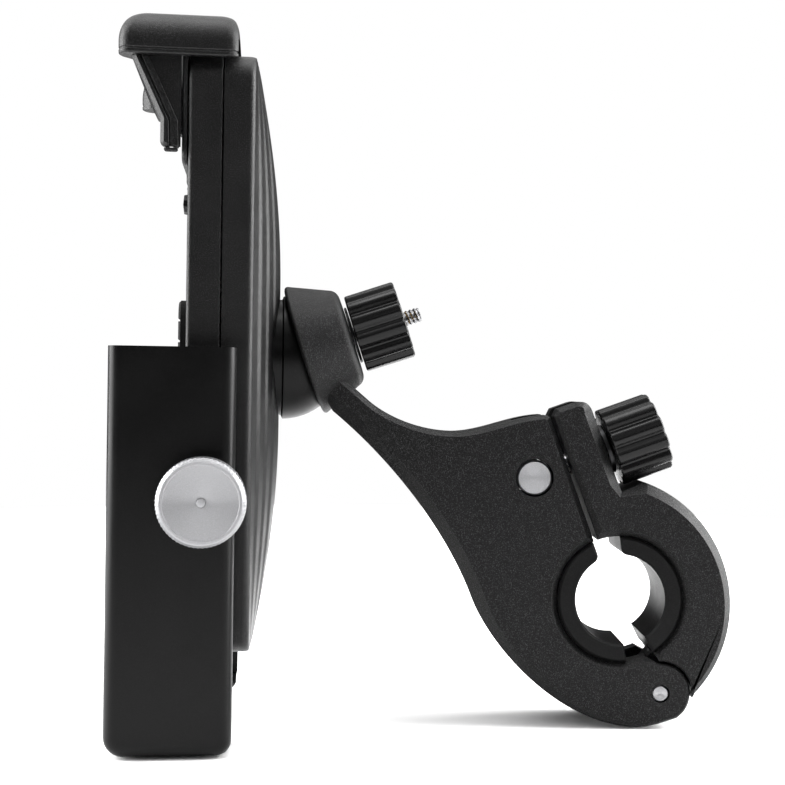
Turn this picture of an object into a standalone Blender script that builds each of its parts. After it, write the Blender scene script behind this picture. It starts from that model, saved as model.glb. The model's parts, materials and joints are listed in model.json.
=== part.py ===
"""Handlebar phone mount: a sprung cradle on a ball joint, an arm and a hinged bar clamp.

Lengths below are millimetres and turn into metres when a mesh is made. +Z is up, +X points from
the cradle to the handlebar, and the handlebar runs along Y. The floor under the jaws is Z = 0.
"""
import math

import bmesh
import bpy
from mathutils import Matrix, Vector

MM = 0.001
GAP = 0.3
TINY = 1e-6

# Where the two design frames sit: the arm's middle plane, and the ball's centre in that plane.
ARM_Y = 1.8
PIVOT_X = -35.3
PIVOT_Z = 92.6
CRADLE_YAW = math.radians(6.0)

# Ball joint, measured from the ball's centre.
STUD_RISE = 18.4
BALL_R = 15.9
BALL_INNER_R = 13.6
SOCKET_R = 16.3
LINER_R = 13.2
LINER_INNER_R = 12.3
RIM_HEIGHT = 5.9
RIM_R = 17.2
BOSS_HEIGHT = 18.7
BOSS_R = 12.9
STUD_R = 2.0
STUD_HOLE_R = 2.4
STUD_TIP = 37.5

# Bar clamp.
ARM_HALF_WIDTH = 10.0
SEAT = (51.8, 32.3)
SEAT_R = 15.9
BUSH_R = 15.6
BUSH_INNER_R = 11.35
PIN = (62.2, 8.7)
PIN_R = 2.05
KNUCKLE_R = 7.5
LUG_HALF_WIDTH = 4.0
JAW_CENTRE = (47.3, 31.0)
JAW_R = 32.7
SPLIT_RISE = 20.3
BARREL = (29.7, 62.8)
BARREL_R = 4.5
SPLIT_FROM_BARREL = 8.9
SPLIT_GAP = 1.0
EAR_THICKNESS = 9.8
CLAMP_STUD_R = 2.5
SLOT_HALF_WIDTH = 3.1
KNOB_R = 10.3
KNOB_FLUTES = 12

# Cradle, in its own frame: x toward the handlebar, y across, z up, origin at the ball's centre.
BODY_FRONT = -23.4
BODY_PARTING = -15.2
BODY_HALF_WIDTH = 30.0
BODY_HALF_HEIGHT = 71.6
BODY_CORNER = 7.0
BODY_WALL = 2.4
COVER_EDGE = -7.6
COVER_PEAK = -0.9
COVER_FLAT = 18.0
COVER_END = -6.9
NECK_R = 15.0
FLANGE_R = 17.6
RING_SCREW_Z = 19.7
GUIDE_X = -18.4
SCREW_Z = -33.7
ROD_Z = (-20.0, -47.0)
ROD_R = 1.5
SCREW_R = 2.0
SCREW_HOLE_R = 2.4

# Side jaws, drawn for the side at +y.
JAW_FRONT = -40.3
JAW_BACK = -11.2
JAW_FACE = 40.0
JAW_TOP = 1.1
JAW_BOTTOM = -92.6
JAW_WALL = 2.2
JAW_LIP = 7.0
HEAD_R = 10.15
HEAD_FACE = 48.8

# Hook: a cap with a skirt round the body's top, two fingers and a front lip between them.
CAP_FRONT = -39.8
CAP_BACK = -11.5
CAP_BOTTOM = 73.8
CAP_TOP = 80.3
CAP_HALF_WIDTH = 32.2
SKIRT_BOTTOM = 69.4
SKIRT_WALL = 1.7
FINGER_INNER = 27.4
FINGER_OUTER = 30.3
LIP_BOTTOM = 66.0
SLIDE_FRONT = -24.9
SLIDE_BOTTOM = 44.6
SLIDE_HALF_WIDTH = 29.4
TONGUE_BOTTOM = 48.3
KEEPER_BACK = -18.9
KEEPER_SCREW_Z = (49.6, 54.6)
KEEPER_HEAD_BACK = -17.4
SPRING_POST_Z = -12.0


def clear_scene():
    """Remove whatever the opened file holds."""
    for item in list(bpy.data.objects):
        bpy.data.objects.remove(item, do_unlink=True)


def paint(name, colour, metallic, roughness):
    """Make the material of one part."""
    look = bpy.data.materials.new(name)
    look.use_nodes = True
    shader = look.node_tree.nodes["Principled BSDF"]
    shader.inputs["Base Color"].default_value = (*colour, 1.0)
    shader.inputs["Metallic"].default_value = metallic
    shader.inputs["Roughness"].default_value = roughness
    return look


BLACK_PLASTIC = ((0.02, 0.02, 0.022), 0.0, 0.5)
GLOSS_PLASTIC = ((0.012, 0.012, 0.013), 0.0, 0.15)
BLACK_METAL = ((0.03, 0.03, 0.033), 0.8, 0.45)
STEEL = ((0.7, 0.7, 0.7), 1.0, 0.25)
BRASS = ((0.7, 0.5, 0.22), 1.0, 0.3)
RUBBER = ((0.03, 0.03, 0.03), 0.0, 0.8)


def frame_empty(name, location, yaw=0.0):
    """Make an empty that carries one design frame."""
    empty = bpy.data.objects.new(name, None)
    empty.location = Vector(location) * MM
    empty.rotation_euler = (0.0, 0.0, yaw)
    bpy.context.collection.objects.link(empty)
    return empty


def make(name, mesh_data, look, frame, origin=(0.0, 0.0, 0.0)):
    """Turn a bmesh drawn in a frame into a named object whose origin is at the given point."""
    bmesh.ops.recalc_face_normals(mesh_data, faces=mesh_data.faces)
    bmesh.ops.translate(mesh_data, vec=-Vector(origin) * MM, verts=mesh_data.verts)
    mesh = bpy.data.meshes.new(name)
    mesh_data.to_mesh(mesh)
    mesh_data.free()
    mesh.shade_smooth()
    mesh.set_sharp_from_angle(angle=math.radians(35.0))
    item = bpy.data.objects.new(name, mesh)
    item.location = Vector(origin) * MM
    item.parent = frame
    bpy.context.collection.objects.link(item)
    if look is not None:
        mesh.materials.append(paint(name, *look))
    return item


def combine(target, tool, operation):
    """Cut a tool from a target, or join it on, and keep the tool out of the model."""
    tool.display_type = "WIRE"
    tool.hide_render = True
    step = target.modifiers.new(operation.title(), "BOOLEAN")
    step.operation = operation
    step.solver = "EXACT"
    step.object = tool


def cut(target, tool):
    """Take the tool's volume out of the target."""
    combine(target, tool, "DIFFERENCE")


def join(target, tool):
    """Add the tool's volume to the target."""
    combine(target, tool, "UNION")


def arc(centre, radius, start, end, steps):
    """Points on a circle from one angle to another, in degrees, both ends included."""
    points = []
    for index in range(steps + 1):
        angle = math.radians(start + (end - start) * index / steps)
        points.append((centre[0] + radius * math.cos(angle), centre[1] + radius * math.sin(angle)))
    return points


def bezier(start, lead, trail, end, steps):
    """Points on a cubic curve, without its first point."""
    points = []
    for index in range(1, steps + 1):
        t = index / steps
        s = 1.0 - t
        weights = (s ** 3, 3 * s * s * t, 3 * s * t * t, t ** 3)
        corners = (start, lead, trail, end)
        points.append(tuple(sum(w * c[axis] for w, c in zip(weights, corners)) for axis in (0, 1)))
    return points


def rounded_rectangle(low, high, radius, steps=3):
    """A rectangle's outline with round corners."""
    corners = (
        (high[0] - radius, high[1] - radius, 0),
        (low[0] + radius, high[1] - radius, 90),
        (low[0] + radius, low[1] + radius, 180),
        (high[0] - radius, low[1] + radius, 270),
    )
    outline = []
    for x, y, start in corners:
        outline += arc((x, y), radius, start, start + 90, steps)
    return outline


def loft(mesh_data, loops):
    """Skin equal loops of points and close both ends."""
    rings = [[mesh_data.verts.new(Vector(point) * MM) for point in loop] for loop in loops]
    for lower, upper in zip(rings, rings[1:]):
        for index, corner in enumerate(lower):
            following = (index + 1) % len(lower)
            mesh_data.faces.new((corner, lower[following], upper[following], upper[index]))
    mesh_data.faces.new(rings[0][::-1])
    mesh_data.faces.new(rings[-1])


def inset(outline, distance):
    """Move a closed outline inward, which is to the left of a counter-clockwise walk."""
    moved = []
    for index, point in enumerate(outline):
        before = Vector(point) - Vector(outline[index - 1])
        after = Vector(outline[(index + 1) % len(outline)]) - Vector(point)
        normal = Vector((-before.y, before.x)).normalized() + Vector((-after.y, after.x)).normalized()
        normal /= max(normal.length_squared / 2.0, 0.5)
        moved.append(tuple(Vector(point) + normal * distance))
    return moved


def plate(mesh_data, outline, half_width, chamfer):
    """Extrude an (x, z) outline along y, with chamfered edges on both faces."""
    small = inset(outline, chamfer)
    layers = ((small, -half_width), (outline, chamfer - half_width))
    layers += ((outline, half_width - chamfer), (small, half_width))
    loft(mesh_data, [[(x, y, z) for x, z in points] for points, y in layers])


def prism_y(mesh_data, outline, low, high):
    """Extrude an (x, z) outline from one y to another."""
    loft(mesh_data, [[(x, y, z) for x, z in outline] for y in (low, high)])


def prism_x(mesh_data, outline, low, high):
    """Extrude a (y, z) outline from one x to another."""
    loft(mesh_data, [[(x, y, z) for y, z in outline] for x in (low, high)])


def prism_z(mesh_data, outline, low, high):
    """Extrude an (x, y) outline from one z to another."""
    loft(mesh_data, [[(x, y, z) for x, y in outline] for z in (low, high)])


def box(mesh_data, low, high):
    """A box between two corners."""
    outline = ((low[0], low[1]), (high[0], low[1]), (high[0], high[1]), (low[0], high[1]))
    prism_z(mesh_data, outline, low[2], high[2])


def turned(mesh_data, profile, segments, place=Matrix(), flute=0.0):
    """Turn (radius, height) points about the place's Z axis; flutes scallop the outer points."""
    widest = max(radius for radius, _ in profile)
    rings = []
    for radius, height in profile:
        ring = []
        for index in range(1 if radius < TINY else segments):
            angle = 2.0 * math.pi * index / segments
            reach = radius
            if flute and radius > widest * 0.7:
                reach -= flute * (0.5 + 0.5 * math.cos(KNOB_FLUTES * angle))
            point = place @ Vector((reach * math.cos(angle), reach * math.sin(angle), height))
            ring.append(mesh_data.verts.new(point * MM))
        rings.append(ring)
    pairs = list(zip(rings, rings[1:]))
    if len(rings[0]) > 1:
        pairs.append((rings[-1], rings[0]))
    for lower, upper in pairs:
        for index in range(segments):
            after = (index + 1) % segments
            corners = [lower[index % len(lower)], lower[after % len(lower)]]
            corners += [upper[after % len(upper)], upper[index % len(upper)]]
            corners = list(dict.fromkeys(corners))
            mesh_data.faces.new(corners)


def rod(mesh_data, radius, low, high, segments, place):
    """A plain round bar along the place's Z axis."""
    turned(mesh_data, [(0.0, low), (radius, low), (radius, high), (0.0, high)], segments, place)


def ring(mesh_data, inner, outer, low, high, segments, place):
    """A plain round ring about the place's Z axis."""
    profile = [(inner, low), (outer, low), (outer, high), (inner, high)]
    turned(mesh_data, profile, segments, place)


def rising(point, rise):
    """A place at an (x, z) point whose Z axis leans up from +X by the given degrees."""
    turn = Matrix.Rotation(math.radians(90.0 - rise), 4, "Y")
    return Matrix.Translation((point[0], 0.0, point[1])) @ turn


def facing_x(y=0.0, z=0.0):
    """A place whose Z axis points along +X."""
    return Matrix.Translation((0.0, y, z)) @ Matrix.Rotation(math.radians(90.0), 4, "Y")


def facing_y(x, z, side=1):
    """A place whose Z axis points along +Y, or along -Y on the other side."""
    turn = Matrix.Rotation(math.radians(-90.0 * side), 4, "X")
    return Matrix.Translation((x, 0.0, z)) @ turn


def sphere_arc(radius, start, end, steps):
    """(radius, height) points of a ball's surface, by angle from its axis."""
    return [(height, width) for width, height in arc((0.0, 0.0), radius, start, end, steps)]


def along_split(offset, lift):
    """An (x, z) point at an offset across the clamp's split and a lift along it, from the barrel."""
    rise = math.radians(SPLIT_RISE)
    x = BARREL[0] + offset * math.cos(rise) - lift * math.sin(rise)
    z = BARREL[1] + offset * math.sin(rise) + lift * math.cos(rise)
    return (x, z)


def seat_meeting(offset):
    """The angle on the seat circle where a line along the split at this offset comes down to it."""
    rise = math.radians(SPLIT_RISE)
    across = (SEAT[0] - BARREL[0]) * math.cos(rise) + (SEAT[1] - BARREL[1]) * math.sin(rise)
    return SPLIT_RISE + math.degrees(math.acos((offset - across) / SEAT_R))


PIVOT = (PIVOT_X, PIVOT_Z)
STUD_PLACE = rising(PIVOT, STUD_RISE)
CLAMP_PLACE = rising(BARREL, SPLIT_RISE)


# ---------------------------------------------------------------- arm and clamp

def arm_outline():
    """Side view of the arm, counter-clockwise from the socket down the lower edge."""
    outline = [(-24.5, 84.0)]
    outline.append((-21.8, 79.0))
    outline += bezier(outline[-1], (-4.0, 64.5), (8.6, 46.5), (14.2, 32.0), 9)
    outline += bezier(outline[-1], (18.6, 20.5), (36.0, 0.0), (56.5, 0.0), 10)
    outline += bezier(outline[-1], (60.0, 0.2), (63.0, 1.3), (66.5, 2.6), 2)
    outline += arc(PIN, KNUCKLE_R, -38.0, 95.0, 7)
    outline += arc(SEAT, SEAT_R, 295.0, seat_meeting(SPLIT_FROM_BARREL), 16)
    outline.append(along_split(SPLIT_FROM_BARREL, 13.2))
    outline.append(along_split(SPLIT_FROM_BARREL - 0.9, 14.0))
    outline += bezier(outline[-1], (24.0, 78.2), (17.0, 74.0), (9.0, 73.9), 6)
    outline += bezier(outline[-1], (1.5, 73.9), (-8.0, 77.0), (-14.0, 82.6), 5)
    outline.append((-18.5, 88.0))
    return outline


def arm_socket(frame):
    """The cone that takes the ball and ends in the knob's boss."""
    mesh_data = bmesh.new()
    profile = [(0.0, RIM_HEIGHT), (RIM_R - 0.8, RIM_HEIGHT), (RIM_R, RIM_HEIGHT + 0.8)]
    profile += [(BOSS_R, BOSS_HEIGHT - 2.1), (BOSS_R - 0.8, BOSS_HEIGHT - 0.7)]
    profile += [(BOSS_R - 2.3, BOSS_HEIGHT), (0.0, BOSS_HEIGHT)]
    turned(mesh_data, profile, 32, STUD_PLACE)
    return make("arm_socket_tool", mesh_data, None, frame)


def arm_cuts(frame):
    """Tools for the stud hole, the ball's seat, the barrel hole, the stud slot, the fork and the pin."""
    ball = bmesh.new()
    turned(ball, sphere_arc(SOCKET_R, 180.0, 0.0, 20), 32, STUD_PLACE)
    stud = bmesh.new()
    rod(stud, STUD_HOLE_R, 10.0, BOSS_HEIGHT + 2.0, 16, STUD_PLACE)
    barrel = bmesh.new()
    rod(barrel, BARREL_R + GAP, -12.0, 12.0, 20, facing_y(*BARREL))
    slot = bmesh.new()
    corners = (along_split(0.0, -SLOT_HALF_WIDTH), along_split(12.0, -SLOT_HALF_WIDTH))
    corners += (along_split(12.0, 22.0), along_split(0.0, 22.0))
    prism_y(slot, corners, -SLOT_HALF_WIDTH, SLOT_HALF_WIDTH)
    fork = bmesh.new()
    lug_side = LUG_HALF_WIDTH + 0.4
    box(fork, (PIN[0] - KNUCKLE_R - 0.4, -lug_side, -3.0), (PIN[0] + 12.0, lug_side, 22.0))
    pin = bmesh.new()
    rod(pin, PIN_R + GAP, -12.0, 12.0, 16, facing_y(*PIN))
    tools = {"stud": stud, "ball": ball, "barrel": barrel, "slot": slot, "fork": fork, "pin": pin}
    return [make("arm_" + name + "_tool", tool, None, frame) for name, tool in tools.items()]


def build_arm(frame):
    """The arm with its socket, half of the bar's seat and the hinge fork."""
    mesh_data = bmesh.new()
    plate(mesh_data, arm_outline(), ARM_HALF_WIDTH, 1.2)
    arm = make("arm", mesh_data, BLACK_METAL, frame)
    join(arm, arm_socket(frame))
    for tool in arm_cuts(frame):
        cut(arm, tool)


def build_arm_hardware(frame):
    """Hinge pin, barrel nut, tilt stud and the washer inside the ball."""
    pin = bmesh.new()
    half = ARM_HALF_WIDTH - 0.2
    profile = [(0.0, -half), (PIN_R - 0.4, -half), (PIN_R, 0.4 - half)]
    profile += [(PIN_R, half - 0.4), (PIN_R - 0.4, half), (0.0, half)]
    turned(pin, profile, 16, facing_y(*PIN))
    make("hinge_pin", pin, STEEL, frame, (PIN[0], 0.0, PIN[1]))

    barrel = bmesh.new()
    half = ARM_HALF_WIDTH - 0.5
    profile = [(0.0, -half), (BARREL_R - 0.5, -half), (BARREL_R, 0.5 - half)]
    profile += [(BARREL_R, half - 0.5), (BARREL_R - 0.5, half), (0.0, half)]
    turned(barrel, profile, 20, facing_y(*BARREL))
    nut = make("barrel_nut", barrel, STEEL, frame, (BARREL[0], 0.0, BARREL[1]))
    hole = bmesh.new()
    rod(hole, SLOT_HALF_WIDTH, 1.0, 8.0, 16, CLAMP_PLACE)
    cut(nut, make("barrel_hole_tool", hole, None, frame))

    stud = bmesh.new()
    profile = [(0.0, 5.6), (3.6, 5.6), (3.6, 8.5), (STUD_R, 8.5)]
    profile += [(STUD_R, STUD_TIP - 0.5), (STUD_R - 0.5, STUD_TIP), (0.0, STUD_TIP)]
    turned(stud, profile, 16, STUD_PLACE)
    make("tilt_stud", stud, STEEL, frame, (PIVOT_X, 0.0, PIVOT_Z))

    washer = bmesh.new()
    edge = 6.2
    profile = [(STUD_HOLE_R, 8.8), (edge, 8.8)]
    start = math.degrees(math.asin(edge / (LINER_INNER_R - GAP)))
    end = math.degrees(math.asin(STUD_HOLE_R / (LINER_INNER_R - GAP)))
    profile += sphere_arc(LINER_INNER_R - GAP, start, end, 3)
    turned(washer, profile, 20, STUD_PLACE)
    make("inner_washer", washer, STEEL, frame, (PIVOT_X, 0.0, PIVOT_Z))


def build_bush(name, start, end, frame, origin):
    """Half of the split bush that lines the seat."""
    outline = arc(SEAT, BUSH_R, start, end, 12)
    outline += arc(SEAT, BUSH_INNER_R, end - 3.0, start + 3.0, 12)
    mesh_data = bmesh.new()
    plate(mesh_data, outline, ARM_HALF_WIDTH - 0.3, 0.6)
    make(name, mesh_data, RUBBER, frame, origin)


def jaw_outline():
    """Side view of the hinged jaw, counter-clockwise from the hinge."""
    face = SPLIT_FROM_BARREL + SPLIT_GAP
    back = face + EAR_THICKNESS
    outline = arc(PIN, KNUCKLE_R + 0.6, 92.0, -7.0, 6)
    outline += arc(JAW_CENTRE, JAW_R, -44.2, 71.0, 18)
    outline.append(along_split(back, -KNOB_R - 0.7))
    outline.append(along_split(back, 10.5))
    outline += bezier(outline[-1], along_split(back, 12.6), along_split(back - 0.8, 14.4),
                      along_split(back - 3.6, 14.4), 4)
    outline.append(along_split(face + 1.4, 14.4))
    outline.append(along_split(face, 13.0))
    outline += arc(SEAT, SEAT_R, seat_meeting(face), -57.0, 16)
    return outline


def build_clamp_jaw(frame):
    """The hinged half of the clamp: C-shaped jaw, ear with its open slot, and hinge lug."""
    origin = (PIN[0], 0.0, PIN[1])
    mesh_data = bmesh.new()
    plate(mesh_data, jaw_outline(), ARM_HALF_WIDTH, 1.5)
    jaw = make("clamp_jaw", mesh_data, BLACK_METAL, frame, origin)
    lug = bmesh.new()
    outline = arc(PIN, KNUCKLE_R - 0.5, 130.0, 340.0, 10)
    outline += [(PIN[0] + 9.0, PIN[1] + 4.0), (PIN[0] + 8.0, PIN[1] + 12.0), (PIN[0] + 1.0, PIN[1] + 12.0)]
    prism_y(lug, outline, -LUG_HALF_WIDTH, LUG_HALF_WIDTH)
    join(jaw, make("jaw_lug_tool", lug, None, frame))
    slot = bmesh.new()
    corners = (along_split(7.0, -SLOT_HALF_WIDTH), along_split(24.0, -SLOT_HALF_WIDTH))
    corners += (along_split(24.0, 20.0), along_split(7.0, 20.0))
    prism_y(slot, corners, -SLOT_HALF_WIDTH, SLOT_HALF_WIDTH)
    cut(jaw, make("jaw_slot_tool", slot, None, frame))
    pin = bmesh.new()
    rod(pin, PIN_R + GAP, -12.0, 12.0, 16, facing_y(*PIN))
    cut(jaw, make("jaw_pin_tool", pin, None, frame))


def knob_profile(base, top):
    """(radius, height) points of a fluted knob with a hole for its insert."""
    return [(4.0, base), (KNOB_R - 0.7, base), (KNOB_R, base + 0.7), (KNOB_R, top - 1.2),
            (KNOB_R - 1.2, top), (4.0, top)]


def build_knob(name, place, base, top, frame, origin):
    """A fluted knob and its threaded brass insert."""
    knob = bmesh.new()
    turned(knob, knob_profile(base, top), 36, place, flute=1.1)
    make(name, knob, BLACK_PLASTIC, frame, origin)
    insert = bmesh.new()
    ring(insert, 2.9, 3.7, base + 0.2, top - 0.6, 16, place)
    make(name + "_insert", insert, BRASS, frame, origin)


def build_clamp_screw(frame):
    """The clamp's stud and washer, which ride on the jaw, and its knob."""
    ear_back = SPLIT_FROM_BARREL + SPLIT_GAP + EAR_THICKNESS
    origin = (PIN[0], 0.0, PIN[1])
    stud = bmesh.new()
    profile = [(0.0, 3.0), (CLAMP_STUD_R - 0.5, 3.0), (CLAMP_STUD_R, 3.5)]
    profile += [(CLAMP_STUD_R, ear_back + 13.2), (0.0, ear_back + 13.2)]
    turned(stud, profile, 16, CLAMP_PLACE)
    make("clamp_stud", stud, STEEL, frame, origin)
    washer = bmesh.new()
    ring(washer, CLAMP_STUD_R + GAP, 6.5, ear_back + GAP, ear_back + 1.6, 20, CLAMP_PLACE)
    make("clamp_washer", washer, STEEL, frame, origin)
    base = ear_back + 1.9
    build_knob("clamp_knob", CLAMP_PLACE, base, base + 13.6, frame, (BARREL[0], 0.0, BARREL[1]))


def build_tilt_lock(frame):
    """Washer and knob that squeeze the ball joint."""
    origin = (PIVOT_X, 0.0, PIVOT_Z)
    washer = bmesh.new()
    ring(washer, STUD_HOLE_R, 7.5, BOSS_HEIGHT + GAP, BOSS_HEIGHT + 0.9, 20, STUD_PLACE)
    make("tilt_washer", washer, STEEL, frame, origin)
    base = BOSS_HEIGHT + 1.2
    build_knob("tilt_knob", STUD_PLACE, base, base + 13.2, frame, origin)


# ---------------------------------------------------------------- ball joint

def build_ball(arm_frame, cradle_frame):
    """The hollow dome that carries the cradle and the liner inside it."""
    dome = bmesh.new()
    profile = sphere_arc(BALL_R, 0.0, 90.0, 7)
    profile += [(NECK_R, -0.4), (NECK_R, -6.8), (FLANGE_R, -6.8), (FLANGE_R, -8.6)]
    profile += [(BALL_INNER_R - 0.2, -8.6)]
    profile += sphere_arc(BALL_INNER_R, 90.0, 0.0, 7)
    turned(dome, profile, 28, facing_x())
    ball = make("ball_dome", dome, BLACK_METAL, cradle_frame)
    window = bmesh.new()
    outline = rounded_rectangle((-5.5, -7.8), (5.5, 8.3), 2.5, 2)
    prism_x(window, outline, 4.0, BALL_R + 3.0)
    cut(ball, make("dome_window_tool", window, None, cradle_frame))

    liner = bmesh.new()
    profile = sphere_arc(LINER_R, 0.0, 62.0, 5)
    profile += sphere_arc(LINER_INNER_R, 62.0, 0.0, 5)
    place = Matrix.Translation((PIVOT_X, 0.0, PIVOT_Z)) @ facing_x()
    turned(liner, profile, 28, place)
    cap = make("ball_liner", liner, BLACK_PLASTIC, arm_frame, (PIVOT_X, 0.0, PIVOT_Z))
    slot = bmesh.new()
    low = (PIVOT_X + 3.0, -2.9, PIVOT_Z - 7.2)
    box(slot, low, (PIVOT_X + BALL_R, 2.9, PIVOT_Z + 7.6))
    cut(cap, make("liner_slot_tool", slot, None, arm_frame))


# ---------------------------------------------------------------- cradle body

def cover_height(z):
    """The cover's highest x along its middle at height z: flat at the ball, then falling away."""
    beyond = max(0.0, abs(z) - COVER_FLAT)
    reach = BODY_HALF_HEIGHT - COVER_FLAT
    return COVER_PEAK + (COVER_END - COVER_PEAK) * (beyond / reach) ** 2


def cover_section(z, half_width, edge, peak, base, steps=10):
    """One level of the domed cover: straight sides and a round back."""
    points = [(base, -half_width, z), (base, half_width, z)]
    for index in range(steps + 1):
        part = 1.0 - 2.0 * index / steps
        points.append((edge + (peak - edge) * (1.0 - part * part), half_width * part, z))
    return points


def corner_width(z, half_height, half_width):
    """Half the width at height z of a panel with round corners."""
    into = max(0.0, abs(z) - (half_height - BODY_CORNER))
    return half_width - BODY_CORNER + math.sqrt(max(0.0, BODY_CORNER ** 2 - into ** 2))


def cover_solid(mesh_data, shrink, base):
    """The cover's outer shape, or the hollow inside it when shrunk by the wall."""
    half_height = BODY_HALF_HEIGHT - shrink
    ends = [half_height, half_height - 2.2, half_height - BODY_CORNER]
    levels = [-level for level in ends] + [-48.0, -34.0, -18.0, 18.0, 34.0, 48.0] + ends[::-1]
    loops = []
    for z in levels:
        width = corner_width(z * 0.999, half_height, BODY_HALF_WIDTH - shrink)
        loops.append(cover_section(z, width, COVER_EDGE - shrink, cover_height(z) - shrink, base))
    loft(mesh_data, loops)


def build_back_shell(frame):
    """The domed back cover with the hole that the ball's neck turns in."""
    outer = bmesh.new()
    cover_solid(outer, 0.0, BODY_PARTING + GAP / 2)
    shell = make("back_shell", outer, BLACK_PLASTIC, frame)
    hollow = bmesh.new()
    cover_solid(hollow, BODY_WALL, BODY_PARTING - 3.0)
    cut(shell, make("shell_hollow_tool", hollow, None, frame))
    hole = bmesh.new()
    rod(hole, NECK_R + 0.4, -6.0, 2.0, 32, facing_x())
    cut(shell, make("shell_hole_tool", hole, None, frame))


def tray_hollow():
    """(y, z) outline of the front plate's hollow, which leaves a block round each captive nut."""
    y = BODY_HALF_WIDTH - BODY_WALL
    z = BODY_HALF_HEIGHT - BODY_WALL
    block_y = 20.0
    block_low = SCREW_Z - 6.0
    block_high = SCREW_Z + 6.0
    return [(-y, -z), (y, -z), (y, block_low), (block_y, block_low), (block_y, block_high), (y, block_high),
            (y, z), (-y, z), (-y, block_high), (-block_y, block_high), (-block_y, block_low), (-y, block_low)]


def tray_tools(frame):
    """Cutters for the front plate: hollow, nut pockets, screw and rod bores, slide slot, screw holes."""
    tools = []
    hollow = bmesh.new()
    prism_x(hollow, tray_hollow(), BODY_FRONT + 2.5, BODY_PARTING + 2.0)
    tools.append(hollow)
    for side in (-1, 1):
        pocket = bmesh.new()
        sides = sorted((side * 22.0, side * 26.6))
        box(pocket, (-22.0, sides[0], SCREW_Z - 3.6), (BODY_PARTING + 2.0, sides[1], SCREW_Z + 3.6))
        tools.append(pocket)
    screw = bmesh.new()
    rod(screw, SCREW_HOLE_R, -34.0, 34.0, 12, facing_y(GUIDE_X, SCREW_Z))
    tools.append(screw)
    for height in ROD_Z:
        bore = bmesh.new()
        rod(bore, ROD_R + 0.4, -34.0, 34.0, 12, facing_y(GUIDE_X, height))
        tools.append(bore)
    slot = bmesh.new()
    box(slot, (BODY_FRONT - 1.0, -4.4, 46.4), (BODY_FRONT + 3.0, 4.4, BODY_HALF_HEIGHT + 1.0))
    tools.append(slot)
    door = bmesh.new()
    box(door, (BODY_FRONT + 2.0, -8.6, 60.0), (KEEPER_HEAD_BACK + 0.5, 8.6, BODY_HALF_HEIGHT + 1.0))
    tools.append(door)
    made = []
    for index, tool in enumerate(tools):
        made.append(make("tray_tool_" + str(index), tool, None, frame))
    return made


SHELL_SCREWS = [(y, z) for y in (-21.0, 21.0) for z in (-60.0, 36.0)]


def build_front_plate(frame):
    """The front half of the body, a tray that guides the rods, the screws and the hook's slide."""
    outline = rounded_rectangle((-BODY_HALF_WIDTH, -BODY_HALF_HEIGHT), (BODY_HALF_WIDTH, BODY_HALF_HEIGHT),
                                BODY_CORNER, 3)
    small = inset(outline, 0.7)
    layers = ((small, BODY_FRONT), (outline, BODY_FRONT + 0.7), (outline, BODY_PARTING - GAP / 2))
    mesh_data = bmesh.new()
    loft(mesh_data, [[(x, y, z) for y, z in points] for points, x in layers])
    tray = make("front_plate", mesh_data, BLACK_PLASTIC, frame)
    for tool in tray_tools(frame):
        cut(tray, tool)
    holes = bmesh.new()
    for y, z in SHELL_SCREWS:
        rod(holes, 1.7, BODY_FRONT - 1.0, BODY_FRONT + 4.0, 10, facing_x(y, z))
    cut(tray, make("tray_screw_tool", holes, None, frame))


def build_body_hardware(frame):
    """Front pad, screws, captive nuts, turntable ring and spring post."""
    pad = bmesh.new()
    outline = rounded_rectangle((-24.0, -57.0), (24.0, 12.9), 4.0, 3)
    prism_x(pad, outline, BODY_FRONT - 2.1, BODY_FRONT - GAP)
    make("front_pad", pad, RUBBER, frame)

    profile = [(0.0, BODY_FRONT - 1.5), (2.3, BODY_FRONT - 1.2), (2.5, BODY_FRONT - 0.3)]
    profile += [(1.3, BODY_FRONT - 0.3), (1.3, -13.0), (0.0, -13.0)]
    for index, (y, z) in enumerate(SHELL_SCREWS):
        screw = bmesh.new()
        turned(screw, profile, 10, facing_x(y, z))
        make("shell_screw_" + str(index + 1), screw, STEEL, frame)

    for name, side in (("near", -1), ("far", 1)):
        nut = bmesh.new()
        ring(nut, SCREW_HOLE_R, 3.3, 22.4, 26.2, 6, facing_y(GUIDE_X, SCREW_Z, side))
        make("captive_nut_" + name, nut, BRASS, frame)

    turntable = bmesh.new()
    profile = [(11.0, -11.0), (21.4, -11.0), (21.4, -9.6), (20.2, -8.4)]
    profile += [(18.2, -8.4), (18.2, -9.0), (11.0, -9.0)]
    turned(turntable, profile, 28, facing_x())
    table = make("turntable_ring", turntable, BLACK_PLASTIC, frame)
    holes = bmesh.new()
    for z in (-RING_SCREW_Z, RING_SCREW_Z):
        rod(holes, 1.2, -13.0, -6.0, 8, facing_x(0.0, z))
    cut(table, make("turntable_tool", holes, None, frame))

    profile = [(0.0, -12.9), (2.0, -12.9), (2.0, -11.3), (0.9, -11.3), (0.9, -4.0), (0.0, -4.0)]
    for name, z in (("lower", -RING_SCREW_Z), ("upper", RING_SCREW_Z)):
        screw = bmesh.new()
        turned(screw, profile, 10, facing_x(0.0, z))
        make("ring_screw_" + name, screw, STEEL, frame)

    post = bmesh.new()
    rod(post, 1.2, BODY_FRONT + 2.8, -15.6, 10, facing_x(0.0, SPRING_POST_Z))
    make("spring_post", post, STEEL, frame)


# ---------------------------------------------------------------- hook

def finger_outline():
    """(x, z) side view of one finger: slanted front, then down to a blunt tip before the slide."""
    back = SLIDE_FRONT - GAP
    return [(-36.9, CAP_BOTTOM + 1.0), (-36.7, SKIRT_BOTTOM), (-29.9, 54.7), (-29.9, TONGUE_BOTTOM + 1.0),
            (-28.9, TONGUE_BOTTOM), (back, TONGUE_BOTTOM), (back, CAP_BOTTOM + 1.0)]


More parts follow.
